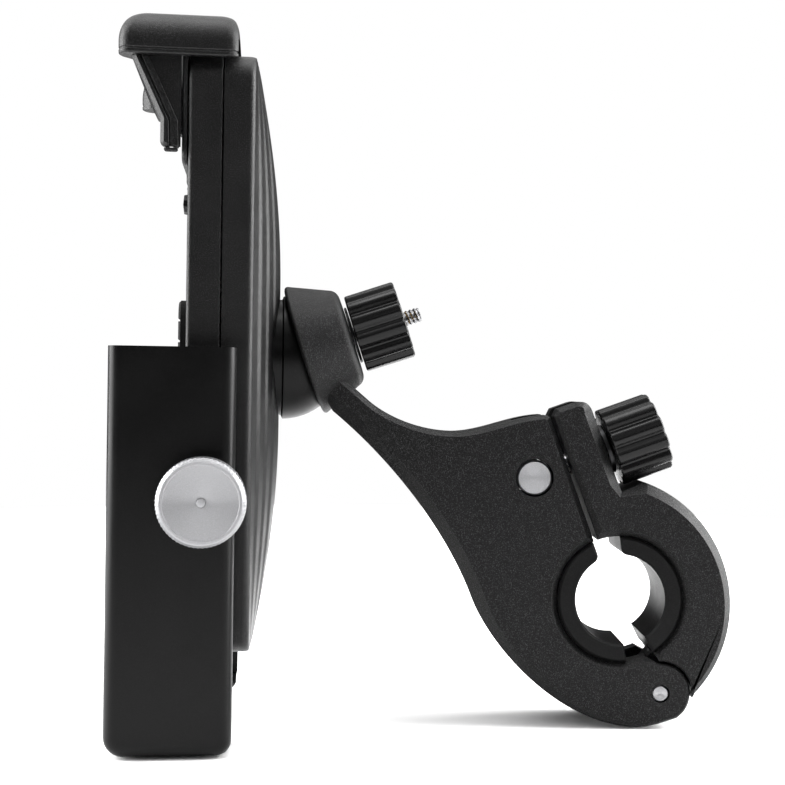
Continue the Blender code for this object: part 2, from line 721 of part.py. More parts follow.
def build_hook(frame):
    """The sprung hook: cap with its skirt, two fingers that press on the phone, and the front lip."""
    cap = bmesh.new()
    outline = rounded_rectangle((CAP_FRONT, -CAP_HALF_WIDTH), (CAP_BACK, CAP_HALF_WIDTH), 4.0, 3)
    layers = ((outline, SKIRT_BOTTOM), (outline, CAP_TOP - 2.5), (inset(outline, 1.0), CAP_TOP - 0.8),
              (inset(outline, 3.0), CAP_TOP))
    loft(cap, [[(x, y, z) for x, y in points] for points, z in layers])
    hook = make("hook", cap, BLACK_PLASTIC, frame, (0.0, 0.0, TONGUE_BOTTOM))
    cavity = bmesh.new()
    inner = CAP_HALF_WIDTH - SKIRT_WALL
    box(cavity, (CAP_FRONT + SKIRT_WALL, -inner, SKIRT_BOTTOM - 5.0), (CAP_BACK + 5.0, inner, CAP_BOTTOM))
    cut(hook, make("hook_cavity_tool", cavity, None, frame))
    for side in (-1, 1):
        finger = bmesh.new()
        prism_y(finger, finger_outline(), *sorted((side * FINGER_INNER, side * FINGER_OUTER)))
        join(hook, make("hook_finger_tool_" + str(side + 1), finger, None, frame))
    lip = bmesh.new()
    outline = [(-36.9, CAP_BOTTOM + 1.0), (-36.7, SKIRT_BOTTOM), (-35.1, LIP_BOTTOM), (-33.0, LIP_BOTTOM),
               (-34.4, SKIRT_BOTTOM), (-34.5, CAP_BOTTOM + 1.0)]
    prism_y(lip, outline, -FINGER_INNER - 0.5, FINGER_INNER + 0.5)
    join(hook, make("hook_lip_tool", lip, None, frame))


def build_slide(frame):
    """Slide plate with its stem, keeper, keeper screws and the pads under the hook's fingers."""
    origin = (0.0, 0.0, TONGUE_BOTTOM)
    for name, side in (("near", -1), ("far", 1)):
        pad = bmesh.new()
        sides = sorted((side * (FINGER_INNER + 0.2), side * (FINGER_OUTER - 0.2)))
        box(pad, (-29.0, sides[0], TONGUE_BOTTOM - 0.9), (-25.8, sides[1], TONGUE_BOTTOM - GAP))
        make("hook_pad_" + name, pad, RUBBER, frame, origin)

    slide = bmesh.new()
    top = CAP_BOTTOM - GAP
    outline = rounded_rectangle((-SLIDE_HALF_WIDTH, SLIDE_BOTTOM), (SLIDE_HALF_WIDTH, top), 3.0, 2)
    prism_x(slide, outline, SLIDE_FRONT, BODY_FRONT - GAP)
    runner = make("hook_slide", slide, BLACK_PLASTIC, frame, origin)
    stem = bmesh.new()
    box(stem, (BODY_FRONT - 1.2, -4.0, 47.2), (BODY_FRONT + 2.5, 4.0, 57.0))
    join(runner, make("slide_stem_tool", stem, None, frame))
    holes = bmesh.new()
    for z in KEEPER_SCREW_Z:
        rod(holes, 1.3, BODY_FRONT - 1.0, BODY_FRONT + 4.0, 8, facing_x(0.0, z))
    cut(runner, make("slide_hole_tool", holes, None, frame))

    keeper = bmesh.new()
    box(keeper, (BODY_FRONT + 2.8, -8.0, 20.0), (KEEPER_BACK, 8.0, 57.0))
    plate_item = make("slide_keeper", keeper, STEEL, frame, origin)
    holes = bmesh.new()
    for z in KEEPER_SCREW_Z:
        rod(holes, 1.3, BODY_FRONT, -17.0, 8, facing_x(0.0, z))
    rod(holes, 1.5, BODY_FRONT, -17.0, 8, facing_x(0.0, 23.0))
    cut(plate_item, make("keeper_hole_tool", holes, None, frame))

    head = KEEPER_BACK + GAP
    profile = [(0.0, BODY_FRONT - 0.7), (1.0, BODY_FRONT - 0.7), (1.0, head), (2.0, head)]
    profile += [(2.0, KEEPER_HEAD_BACK), (0.0, KEEPER_HEAD_BACK)]
    for name, z in zip(("lower", "upper"), KEEPER_SCREW_Z):
        screw = bmesh.new()
        turned(screw, profile, 10, facing_x(0.0, z))
        make("keeper_screw_" + name, screw, STEEL, frame, origin)


def spring_points(turns, per_turn, radius, low, high):
    """Points along a coil about the cradle's z direction."""
    count = turns * per_turn
    points = []
    for index in range(count + 1):
        angle = 2.0 * math.pi * index / per_turn
        height = low + (high - low) * index / count
        points.append(Vector((-17.6 + radius * math.cos(angle), radius * math.sin(angle), height)))
    return points


def build_spring(frame):
    """The extension spring between the post and the keeper."""
    points = spring_points(7, 8, 1.6, SPRING_POST_Z + 1.8, 19.4)
    loops = []
    for index, point in enumerate(points):
        before = points[max(index - 1, 0)]
        after = points[min(index + 1, len(points) - 1)]
        turn = (after - before).to_track_quat("Z", "Y").to_matrix()
        corners = [Vector((0.35, 0.0, 0.0)), Vector((0.0, 0.35, 0.0)), Vector((-0.35, 0.0, 0.0))]
        corners.append(Vector((0.0, -0.35, 0.0)))
        loops.append([point + turn @ corner for corner in corners])
    mesh_data = bmesh.new()
    loft(mesh_data, loops)
    make("hook_spring", mesh_data, STEEL, frame, (0.0, 0.0, SPRING_POST_Z))


# ---------------------------------------------------------------- side jaws

def mirrored(points, side):
    """The same (x, y) outline on the other side, walked the same way round."""
    if side > 0:
        return points
    return [(x, -y) for x, y in reversed(points)]


def jaw_section():
    """(x, y) section of a side jaw: front lip, wall and short back flange."""
    outer = arc((JAW_FRONT + 3.0, JAW_FACE - 3.0), 3.0, 180.0, 90.0, 3)
    outer += arc((JAW_BACK - 3.0, JAW_FACE - 3.0), 3.0, 90.0, 0.0, 3)
    inner = JAW_FACE - JAW_WALL
    points = [(JAW_FRONT, JAW_FACE - JAW_LIP)] + outer
    points += [(JAW_BACK, JAW_FACE - 4.2), (JAW_BACK - 2.0, JAW_FACE - 4.2), (JAW_BACK - 2.2, inner)]
    points += [(JAW_FRONT + JAW_WALL, inner), (JAW_FRONT + JAW_WALL, JAW_FACE - JAW_LIP)]
    return points[::-1]


def build_side_jaw(name, side, frame):
    """One side jaw with its pads and guide rods."""
    wall = bmesh.new()
    prism_z(wall, mirrored(jaw_section(), side), JAW_BOTTOM + 1.0, JAW_TOP)
    jaw = make("jaw_" + name, wall, GLOSS_PLASTIC, frame, (GUIDE_X, 0.0, SCREW_Z))
    foot = bmesh.new()
    outline = rounded_rectangle((JAW_FRONT, 25.0), (JAW_BACK, JAW_FACE), 3.0, 3)
    prism_z(foot, mirrored(outline, side), JAW_BOTTOM, JAW_BOTTOM + JAW_WALL)
    join(jaw, make("jaw_foot_tool_" + name, foot, None, frame))
    hole = bmesh.new()
    rod(hole, SCREW_HOLE_R, JAW_FACE - 5.0, JAW_FACE + 3.0, 12, facing_y(GUIDE_X, SCREW_Z, side))
    cut(jaw, make("jaw_hole_tool_" + name, hole, None, frame))

    pad = bmesh.new()
    sides = sorted((side * (JAW_FACE - JAW_WALL - GAP), side * (JAW_FACE - JAW_WALL - 1.6)))
    box(pad, (-37.4, sides[0], -62.0), (-26.0, sides[1], -3.0))
    make("jaw_pad_" + name, pad, RUBBER, frame, (GUIDE_X, 0.0, SCREW_Z))
    sides = sorted((side * 26.5, side * 36.0))
    foot_pad = bmesh.new()
    low = JAW_BOTTOM + JAW_WALL + GAP
    box(foot_pad, (-37.4, sides[0], low), (-24.5, sides[1], low + 1.2))
    make("foot_pad_" + name, foot_pad, RUBBER, frame, (GUIDE_X, 0.0, SCREW_Z))
    for row, height in zip(("upper", "lower"), ROD_Z):
        bar = bmesh.new()
        rod(bar, ROD_R, 9.0, JAW_FACE - JAW_WALL - GAP, 10, facing_y(GUIDE_X, height, side))
        make("guide_rod_" + name + "_" + row, bar, STEEL, frame, (GUIDE_X, 0.0, SCREW_Z))


def build_thumb_screw(name, side, frame):
    """One thumb screw, dished and knurled, with the clip that holds it in the jaw."""
    place = facing_y(GUIDE_X, SCREW_Z, side)
    origin = (GUIDE_X, 0.0, SCREW_Z)
    low = JAW_FACE + GAP
    screw = bmesh.new()
    profile = [(0.0, 17.0), (SCREW_R - 0.5, 17.0), (SCREW_R, 17.5), (SCREW_R, low)]
    profile += [(5.0, low), (5.0, low + 1.5), (HEAD_R - 0.7, low + 1.5), (HEAD_R, low + 2.2)]
    profile += [(HEAD_R, HEAD_FACE - 0.8), (HEAD_R - 0.8, HEAD_FACE), (HEAD_R - 1.3, HEAD_FACE)]
    profile.append((0.0, HEAD_FACE - 0.9))
    turned(screw, profile, 24, place)
    make("thumb_screw_" + name, screw, STEEL, frame, origin)
    clip = bmesh.new()
    inner = JAW_FACE - JAW_WALL - GAP
    ring(clip, SCREW_R + GAP, 4.2, inner - 0.8, inner, 12, place)
    make("screw_clip_" + name, clip, STEEL, frame, origin)


def main():
    """Build the whole mount."""
    clear_scene()
    arm_frame = frame_empty("arm_frame", (0.0, ARM_Y, 0.0))
    cradle_frame = frame_empty("cradle_frame", (PIVOT_X, ARM_Y, PIVOT_Z), CRADLE_YAW)
    build_arm(arm_frame)
    build_arm_hardware(arm_frame)
    build_bush("bush_fixed", 116.0, 277.0, arm_frame, (0.0, 0.0, 0.0))
    build_clamp_jaw(arm_frame)
    build_bush("bush_moving", -58.0, 91.0, arm_frame, (PIN[0], 0.0, PIN[1]))
    build_clamp_screw(arm_frame)
    build_tilt_lock(arm_frame)
    build_ball(arm_frame, cradle_frame)
    build_back_shell(cradle_frame)
    build_front_plate(cradle_frame)
    build_body_hardware(cradle_frame)
    build_hook(cradle_frame)
    build_slide(cradle_frame)
    build_spring(cradle_frame)
    for name, side in (("near", -1), ("far", 1)):
        build_side_jaw(name, side, cradle_frame)
        build_thumb_screw(name, side, cradle_frame)


main()
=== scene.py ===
"""Looks of the handlebar phone mount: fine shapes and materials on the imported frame.

Shapes are drawn in millimetres and turned into metres when a mesh is made. Arm parts are drawn in
the arm's middle plane, and cradle parts in the cradle's own frame at the ball's centre.
"""
import json
import math

import bmesh
import bpy
from mathutils import Matrix, Vector


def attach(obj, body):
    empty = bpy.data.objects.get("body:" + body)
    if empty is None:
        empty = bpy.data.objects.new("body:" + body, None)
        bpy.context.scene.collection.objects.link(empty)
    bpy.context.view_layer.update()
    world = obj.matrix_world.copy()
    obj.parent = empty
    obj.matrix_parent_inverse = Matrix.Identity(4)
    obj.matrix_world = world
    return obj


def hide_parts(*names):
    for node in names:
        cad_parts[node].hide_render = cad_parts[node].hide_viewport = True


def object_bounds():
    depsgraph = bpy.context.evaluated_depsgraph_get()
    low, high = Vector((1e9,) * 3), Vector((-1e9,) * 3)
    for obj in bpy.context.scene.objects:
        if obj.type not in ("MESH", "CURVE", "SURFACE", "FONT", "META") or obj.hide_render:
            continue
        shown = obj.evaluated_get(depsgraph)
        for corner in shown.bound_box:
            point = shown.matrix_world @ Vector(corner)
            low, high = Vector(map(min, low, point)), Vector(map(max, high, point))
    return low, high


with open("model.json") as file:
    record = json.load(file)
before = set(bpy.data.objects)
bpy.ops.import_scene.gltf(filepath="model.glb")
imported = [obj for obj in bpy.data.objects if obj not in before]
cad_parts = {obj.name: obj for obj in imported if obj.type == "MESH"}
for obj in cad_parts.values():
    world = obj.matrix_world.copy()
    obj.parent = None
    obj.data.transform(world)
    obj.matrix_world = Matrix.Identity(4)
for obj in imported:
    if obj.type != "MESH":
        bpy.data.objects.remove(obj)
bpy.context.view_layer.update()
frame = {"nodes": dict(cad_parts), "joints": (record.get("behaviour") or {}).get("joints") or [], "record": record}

MM = 0.001
TINY = 1e-6
SIDES = (("near", -1), ("far", 1))


# ---- places from the frame

JOINTS = {joint["name"]: joint for joint in frame["joints"]}
MOUNTS = {mount["name"]: mount for mount in frame["record"]["mounts"]}


def joint_point(name):
    """A joint's position in millimetres."""
    return Vector(JOINTS[name]["pos_m"]) / MM


def joint_axis(name):
    """A joint's axis."""
    return Vector(JOINTS[name]["axis"])


def rise_of(axis):
    """How far an axis leans up from +X, in degrees."""
    return math.degrees(math.atan2(axis.z, axis.x))


def side_point(point):
    """A point's place in the side view, as (x, z)."""
    return (point.x, point.z)


ARM_Y = joint_point("clamp_open").y
PIN = side_point(joint_point("clamp_open"))
BARREL = side_point(joint_point("clamp_knob_turn"))
PIVOT = side_point(joint_point("cradle_tilt"))
THUMB = joint_point("screw_near_turn")
SEAT = tuple(MOUNTS["handlebar_clamp"]["pos_m"][axis] / MM for axis in (0, 2))
STUD_RISE = rise_of(joint_axis("tilt_knob_turn"))
SPLIT_RISE = rise_of(joint_axis("clamp_knob_turn"))
FORWARD = joint_axis("cradle_rotate")
ARM = Matrix.Translation((0.0, ARM_Y * MM, 0.0))
YAW = Matrix.Rotation(math.atan2(FORWARD.y, FORWARD.x), 4, "Z")
CRADLE = Matrix.Translation(Vector(JOINTS["cradle_tilt"]["pos_m"])) @ YAW


def turn_about(axis, degrees):
    """A turn about one axis."""
    return Matrix.Rotation(math.radians(degrees), 4, axis)


def in_plane(frame_place, x, z):
    """A place moved by an x and a z in its own frame."""
    return frame_place @ Matrix.Translation((x * MM, 0.0, z * MM))


def rising(point, rise):
    """A place in the arm's plane whose Z axis leans up from +X."""
    return in_plane(ARM, *point) @ turn_about("Y", 90.0 - rise)


STUD = rising(PIVOT, STUD_RISE)
SCREW = rising(BARREL, SPLIT_RISE)


def across(point):
    """A place in the arm's plane whose Z axis points along +Y."""
    return in_plane(ARM, *point) @ turn_about("X", -90.0)


def facing_back(y=0.0, z=0.0):
    """A place in the cradle whose Z axis points backward, along the cradle's X."""
    return CRADLE @ Matrix.Translation((0.0, y * MM, z * MM)) @ turn_about("Y", 90.0)


def thumb_place(side):
    """The place on the thumb screws' axis whose Z axis points out of one side."""
    return Matrix.Translation(THUMB * MM) @ YAW @ turn_about("X", -90.0 * side)


def node_box(node, place=CRADLE):
    """A CAD node's lowest and highest corners in a place's own frame, in millimetres."""
    back = place.inverted()
    corners = [back @ vertex.co for vertex in frame["nodes"][node].data.vertices]
    low = Vector([min(corner[axis] for corner in corners) for axis in range(3)])
    high = Vector([max(corner[axis] for corner in corners) for axis in range(3)])
    return low / MM, high / MM


# ---- materials


def link(tree, source, target):
    """Join two sockets."""
    tree.links.new(source, target)


def texture_node(tree, kind, **values):
    """Add a texture node read in object space."""
    place = tree.nodes.get("Place") or tree.nodes.new("ShaderNodeTexCoord")
    place.name = "Place"
    node = tree.nodes.new(kind)
    for name, value in values.items():
        node.inputs[name].default_value = value
    link(tree, place.outputs["Object"], node.inputs["Vector"])
    return node


def ramp(tree, source, low, high, low_value, high_value):
    """Map a grey value from one range to another."""
    node = tree.nodes.new("ShaderNodeMapRange")
    limits = {"From Min": low, "From Max": high, "To Min": low_value, "To Max": high_value}
    for name, value in limits.items():
        node.inputs[name].default_value = value
    link(tree, source, node.inputs["Value"])
    return node.outputs["Result"]


def bump(tree, height, distance, strength, below=None):
    """Add a bump, on top of another if given."""
    node = tree.nodes.new("ShaderNodeBump")
    node.inputs["Distance"].default_value = distance
    node.inputs["Strength"].default_value = strength
    link(tree, height, node.inputs["Height"])
    if below is not None:
        link(tree, below, node.inputs["Normal"])
    return node.outputs["Normal"]


def mixed(tree, factor, first, second):
    """Mix two colours by a factor."""
    node = tree.nodes.new("ShaderNodeMix")
    node.data_type = "RGBA"
    node.inputs["A"].default_value = (*first, 1.0)
    node.inputs["B"].default_value = (*second, 1.0)
    link(tree, factor, node.inputs["Factor"])
    return node.outputs["Result"]


def ring_bump(tree, width, below):
    """Fine turning rings about Z, on top of another bump."""
    wave = tree.nodes.new("ShaderNodeTexWave")
    wave.wave_type = "RINGS"
    wave.rings_direction = "Z"
    wave.inputs["Scale"].default_value = 1.0 / (width * MM)
    wave.inputs["Distortion"].default_value = 0.6
    link(tree, tree.nodes["Place"].outputs["Object"], wave.inputs["Vector"])
    return bump(tree, wave.outputs["Fac"], width * MM * 0.2, 0.35, below)


def streak_bump(tree, stretch, below):
    """Shallow streaks, stretched along the axis with the smallest scale, on top of another bump."""
    squeeze = tree.nodes.new("ShaderNodeMapping")
    squeeze.inputs["Scale"].default_value = stretch
    link(tree, tree.nodes["Place"].outputs["Object"], squeeze.inputs["Vector"])
    lines = tree.nodes.new("ShaderNodeTexNoise")
    lines.inputs["Scale"].default_value = 60.0
    link(tree, squeeze.outputs["Vector"], lines.inputs["Vector"])
    return bump(tree, lines.outputs["Fac"], 0.0002, 0.12, below)


def surface(name, dark, light, metallic, roughness, grain, depth, speck=(0.45, 0.7), rings=0.0,
            streak=None, shine=0.3):
    """A procedural material: mottled colour, uneven roughness and a grain.

    The grain's and the rings' sizes are in millimetres, and depth is the grain's bump strength.
    """
    look = bpy.data.materials.new(name)
    look.use_nodes = True
    tree = look.node_tree
    shader = tree.nodes["Principled BSDF"]
    shader.inputs["Metallic"].default_value = metallic
    shader.inputs["Specular IOR Level"].default_value = shine
    fine = texture_node(tree, "ShaderNodeTexNoise", Scale=1.0 / (grain * MM), Detail=3.0, Roughness=0.6)
    wide = texture_node(tree, "ShaderNodeTexNoise", Scale=90.0, Detail=4.0)
    factor = ramp(tree, fine.outputs["Fac"], speck[0], speck[1], 0.0, 1.0)
    link(tree, mixed(tree, factor, dark, light), shader.inputs["Base Color"])
    rough = ramp(tree, wide.outputs["Fac"], 0.3, 0.7, roughness * 0.85, roughness * 1.15)
    link(tree, rough, shader.inputs["Roughness"])
    normal = bump(tree, fine.outputs["Fac"], grain * MM * 0.5, depth)
    if rings:
        normal = ring_bump(tree, rings, normal)
    if streak:
        normal = streak_bump(tree, streak, normal)
    link(tree, normal, shader.inputs["Normal"])
    return look


def grey(value):
    """A neutral colour."""
    return (value, value, value * 1.03)


SANDBLAST = surface("sandblasted_black", grey(0.001), grey(0.045), 0.0, 0.45, 0.24, 0.9,
                    speck=(0.52, 0.74), shine=0.15)
TEXTURED = surface("textured_black", grey(0.001), grey(0.028), 0.0, 0.36, 0.24, 0.8,
                   speck=(0.5, 0.76), shine=0.22)
GLOSS = surface("gloss_black", grey(0.001), grey(0.003), 0.0, 0.34, 0.3, 0.06,
                streak=(1.0, 1.0, 0.06), shine=0.12)
KNOB = surface("satin_black", grey(0.002), grey(0.004), 0.0, 0.26, 0.25, 0.12, shine=0.18)
NYLON = surface("nylon_black", grey(0.002), grey(0.005), 0.0, 0.42, 0.4, 0.2, shine=0.1)
DOME = surface("smooth_black", grey(0.001), grey(0.003), 0.0, 0.32, 0.3, 0.1, shine=0.1)
RUBBER = surface("rubber_black", grey(0.004), grey(0.008), 0.0, 0.75, 0.35, 0.4, shine=0.15)
TURNED = surface("turned_bright", grey(0.27), grey(0.34), 1.0, 0.34, 0.15, 0.1, rings=0.35)
STEEL = surface("steel", grey(0.36), grey(0.48), 1.0, 0.28, 0.2, 0.12)
DARK_STEEL = surface("dark_steel", grey(0.16), grey(0.24), 1.0, 0.4, 0.3, 0.1)
BLACKENED = surface("blackened_steel", grey(0.02), grey(0.035), 1.0, 0.35, 0.2, 0.12)
BRASS = surface("brass", (0.5, 0.33, 0.12), (0.62, 0.43, 0.18), 1.0, 0.3, 0.2, 0.12, rings=0.4)
INNER = surface("inner_grey", grey(0.02), grey(0.035), 0.0, 0.55, 0.3, 0.2)


# ---- shape tools


def on_circle(centre, radius, angle):
    """The point at this radius and angle in degrees around centre."""
    turn = math.radians(angle)
    return (centre[0] + radius * math.cos(turn), centre[1] + radius * math.sin(turn))


def arc(centre, radius, start, end, steps):
    """Points on a circle from one angle to another, in degrees, both ends included."""
    return [on_circle(centre, radius, start + (end - start) * index / steps) for index in range(steps + 1)]


def bezier(start, lead, trail, end, steps):
    """Points on a cubic curve, without its first point."""
    points = []
    for index in range(1, steps + 1):
        t = index / steps
        s = 1.0 - t
        weights = (s ** 3, 3 * s * s * t, 3 * s * t * t, t ** 3)
        corners = (start, lead, trail, end)
        points.append(tuple(sum(w * c[axis] for w, c in zip(weights, corners)) for axis in (0, 1)))
    return points


def rounded_rectangle(low, high, radius, steps=8):
    """A rectangle's outline with round corners."""
    corners = (
        (high[0] - radius, high[1] - radius, 0),
        (low[0] + radius, high[1] - radius, 90),
        (low[0] + radius, low[1] + radius, 180),
        (high[0] - radius, low[1] + radius, 270),
    )
    outline = []
    for x, y, start in corners:
        outline += arc((x, y), radius, start, start + 90, steps)
    return outline


def inset(outline, distances):
    """Move each point of a counter-clockwise outline inward by its own distance."""
    moved = []
    for index, (point, distance) in enumerate(zip(outline, distances)):
        before = Vector(point) - Vector(outline[index - 1])
        after = Vector(outline[(index + 1) % len(outline)]) - Vector(point)
        normal = Vector((-before.y, before.x)).normalized() + Vector((-after.y, after.x)).normalized()
        normal /= max(normal.length_squared / 2.0, 0.5)
        moved.append(tuple(Vector(point) + normal * distance))
    return moved


def loft(loops):
    """Skin equal loops of points, and cap both ends."""
    shape = bmesh.new()
    rings = [[shape.verts.new(Vector(point) * MM) for point in loop] for loop in loops]
    for lower, upper in zip(rings, rings[1:]):
        for index, corner in enumerate(lower):
            following = (index + 1) % len(lower)
            shape.faces.new((corner, lower[following], upper[following], upper[index]))
    shape.faces.new(rings[0][::-1])
    shape.faces.new(rings[-1])
    return shape


def run(points, first, last):
    """Pair points with chamfer widths that change evenly from first to last."""
    count = max(len(points) - 1, 1)
    return [(point, first + (last - first) * index / count) for index, point in enumerate(points)]


def plate(path, half_width, closing=()):
    """Extrude a path of ((x, z), chamfer width) along y, with those chamfers on both faces.

    Closing points are left out of the shape, and only steer the chamfers at the path's two ends.
    """
    outline = [point for point, _ in path]
    chamfers = [chamfer for _, chamfer in path]
    small = inset(outline + list(closing), chamfers)
    levels = (
        (small, -half_width, 0),
        (outline, -half_width, 1),
        (outline, half_width, -1),
        (small, half_width, 0),
    )
    loops = []
    for points, y, side in levels:
        loops.append([(x, y + side * chamfer, z) for (x, z), chamfer in zip(points, chamfers)])
    return loft(loops)


# How two numbers in a flat outline and a height along an axis make a point.
AXES = {
    "x": lambda a, b, height: (height, a, b),
    "y": lambda a, b, height: (a, height, b),
    "z": lambda a, b, height: (a, b, height),
}


def stack(axis, levels):
    """Skin (outline, height) levels along x, y or z."""
    point = AXES[axis]
    return loft([[point(a, b, height) for a, b in outline] for outline, height in levels])


def prism(axis, outline, low, high):
    """Extrude a flat outline along x, y or z."""
    return stack(axis, ((outline, low), (outline, high)))


def slab(axis, outline, back, face, rim):
    """Extrude a flat outline from its back to its face, with a small chamfer round the face."""
    start = face + math.copysign(rim, back - face)
    return stack(axis, ((outline, back), (outline, start), (inset(outline, [rim] * len(outline)), face)))


def eased_front(outline, front, fillet, steps):
    """The (outline, x) levels of a rounded front edge, from the front face back."""
    levels = []
    for step in range(steps + 1):
        angle = math.pi / 2 * step / steps
        points = inset(outline, [fillet * (1.0 - math.sin(angle))] * len(outline))
        levels.append((points, front + fillet * (1.0 - math.cos(angle))))
    return levels


def block(low, high):
    """A box between two corners."""
    outline = ((low[0], low[1]), (high[0], low[1]), (high[0], high[1]), (low[0], high[1]))
    return prism("z", outline, low[2], high[2])


def turned(profile, segments, reach=None):
    """Turn (radius, height) points about Z. reach(radius, height, angle) may change the radius."""
    shape = bmesh.new()
    rings = []
    for radius, height in profile:
        ring = []
        for index in range(1 if radius < TINY else segments):
            angle = 2.0 * math.pi * index / segments
            out = reach(radius, height, angle) if reach else radius
            point = Vector((out * math.cos(angle), out * math.sin(angle), height))
            ring.append(shape.verts.new(point * MM))
        rings.append(ring)
    pairs = list(zip(rings, rings[1:]))
    if len(rings[0]) > 1:
        pairs.append((rings[-1], rings[0]))
    for lower, upper in pairs:
        for index in range(segments):
            after = (index + 1) % segments
            corners = [lower[index % len(lower)], lower[after % len(lower)]]
            corners += [upper[after % len(upper)], upper[index % len(upper)]]
            shape.faces.new(list(dict.fromkeys(corners)))
    return shape


def rod(radius, low, high, segments=32):
    """A plain round bar along Z."""
    return turned([(0.0, low), (radius, low), (radius, high), (0.0, high)], segments)


def sphere_arc(radius, start, end, steps):
    """(radius, height) points of a ball's surface, by angle from its axis."""
    return [(height, width) for width, height in arc((0.0, 0.0), radius, start, end, steps)]


def item_from(name, shape, place=CRADLE):
    """Make an object from a bmesh drawn in a place."""
    bmesh.ops.recalc_face_normals(shape, faces=shape.faces)
    mesh = bpy.data.meshes.new(name)
    shape.to_mesh(mesh)
    shape.free()
    item = bpy.data.objects.new(name, mesh)
    item.matrix_world = place
    bpy.context.scene.collection.objects.link(item)
    return item


def cut(shape, place=CRADLE):
    """A step for carve that takes a shape away."""
    return ("DIFFERENCE", shape, place)


def join(shape, place=CRADLE):
    """A step for carve that adds a shape."""
    return ("UNION", shape, place)


def carve(item, steps):
    """Take the cut and join steps in turn, and keep the result in the item's mesh."""
    tools = []
    for index, (operation, shape, place) in enumerate(steps):
        tool = item_from(item.name + "_tool_" + str(index), shape, place)
        step = item.modifiers.new("Step", "BOOLEAN")
        step.operation = operation
        step.solver = "EXACT"
        step.object = tool
        tools.append(tool)
    settle(item)
    for tool in tools:
        bpy.data.objects.remove(tool, do_unlink=True)


def settle(item):
    """Put the modifiers' result into the item's mesh."""
    bpy.context.view_layer.update()
    ready = item.evaluated_get(bpy.context.evaluated_depsgraph_get())
    mesh = bpy.data.meshes.new_from_object(ready)
    item.modifiers.clear()
    item.data = mesh


def soften(item, width, angle=30.0, segments=2):
    """Round the sharp edges."""
    edge = item.modifiers.new("Edges", "BEVEL")
    edge.width = width * MM
    edge.segments = segments
    edge.limit_method = "ANGLE"
    edge.angle_limit = math.radians(angle)
    edge.use_clamp_overlap = True
    settle(item)


def dress(item, body, look, nodes=(), sharp=32.0):
    """Shade a piece, give it its material, and hang it on its body in the nodes' stead."""
    item.data.materials.clear()
    item.data.materials.append(look)
    item.data.shade_smooth()
    item.data.set_sharp_from_angle(angle=math.radians(sharp))
    flat = item.modifiers.new("Normals", "WEIGHTED_NORMAL")
    flat.keep_sharp = True
    settle(item)
    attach(item, body)
    if nodes:
        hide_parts(*nodes)


def along_split(offset, lift):
    """An (x, z) point at an offset across the clamp's split and a lift along it, from the barrel."""
    rise = math.radians(SPLIT_RISE)
    x = BARREL[0] + offset * math.cos(rise) - lift * math.sin(rise)
    z = BARREL[1] + offset * math.sin(rise) + lift * math.cos(rise)
    return (x, z)


def seat_meeting(offset):
    """The angle on the seat circle where a line along the split at this offset comes down to it."""
    rise = math.radians(SPLIT_RISE)
    gap = (SEAT[0] - BARREL[0]) * math.cos(rise) + (SEAT[1] - BARREL[1]) * math.sin(rise)
    return SPLIT_RISE + math.degrees(math.acos((offset - gap) / SEAT_R))


# ---- arm

# SPLIT is how far the arm's split face lies from the barrel nut, SPLIT_GAP the gap to the jaw's
# face, and EAR the jaw's thickness there. LUG, SLOT and CROSSING are half widths along y.
HALF_WIDTH = 10.0
SEAT_R = 15.9
KNUCKLE_R = 7.5
SPLIT = 8.9
SPLIT_GAP = 1.0
EAR = 9.8
JAW_CENTRE = (47.3, 31.0)
JAW_R = 32.7
SOCKET_R = 16.3
LUG = 4.4
SLOT = 3.1
SEAT_CHAMFER = 1.7
STUD_BORE = 2.4
PIN_BORE = 2.3
BARREL_BORE = 4.8
CROSSING = 12.0
BUSH_R = 15.85
BORE_R = 11.35
BUSH_SHORTER = 0.3


def arm_outline():
    """The arm's side view with its chamfers, counter-clockwise from the socket."""
    path = run([(-24.5, 84.0), (-21.8, 79.0)], 1.0, 3.0)
    path += run(bezier(path[-1][0], (-4.0, 64.5), (8.6, 46.5), (14.2, 32.0), 28), 3.2, 3.3)
    path += run(bezier(path[-1][0], (18.6, 20.5), (36.0, 0.0), (56.5, 0.0), 32), 3.3, 0.7)
    path += run(bezier(path[-1][0], (60.0, 0.2), (63.0, 1.3), (66.5, 2.6), 4), 0.6, 0.5)
    path += run(arc(PIN, KNUCKLE_R, -38.0, 95.0, 24), 0.5, 0.5)
    path += run(arc(SEAT, SEAT_R, 295.0, seat_meeting(SPLIT), 60), SEAT_CHAMFER, SEAT_CHAMFER)
    path += run([along_split(SPLIT, 13.2), along_split(SPLIT - 0.9, 14.0)], 1.1, 1.0)
    path += run(bezier(path[-1][0], (24.0, 78.2), (17.0, 74.0), (9.0, 73.9), 20), 1.0, 1.0)
    path += run(bezier(path[-1][0], (1.5, 73.9), (-8.0, 77.0), (-14.0, 82.6), 16), 1.0, 1.0)
    path += run([(-21.6, 89.0)], 1.0, 1.0)
    return path


def socket_profile():
    """The socket's outside, from its rim to the boss under the tilt knob."""
    profile = [(0.0, 5.9), (16.2, 5.9)]
    profile += arc((16.4, 6.6), 0.75, 280.0, 382.0, 5)
    profile += arc((10.3, 15.9), 2.8, 22.0, 90.0, 9)
    profile += [(10.0, 18.7), (0.0, 18.7)]
    return profile


def split_slot(first, last, top):
    """A cutter for the stud's slot, between two offsets across the split and up to a lift."""
    corners = (
        along_split(first, -SLOT),
        along_split(last, -SLOT),
        along_split(last, top),
        along_split(first, top),
    )
    return cut(prism("y", corners, -SLOT, SLOT), ARM)


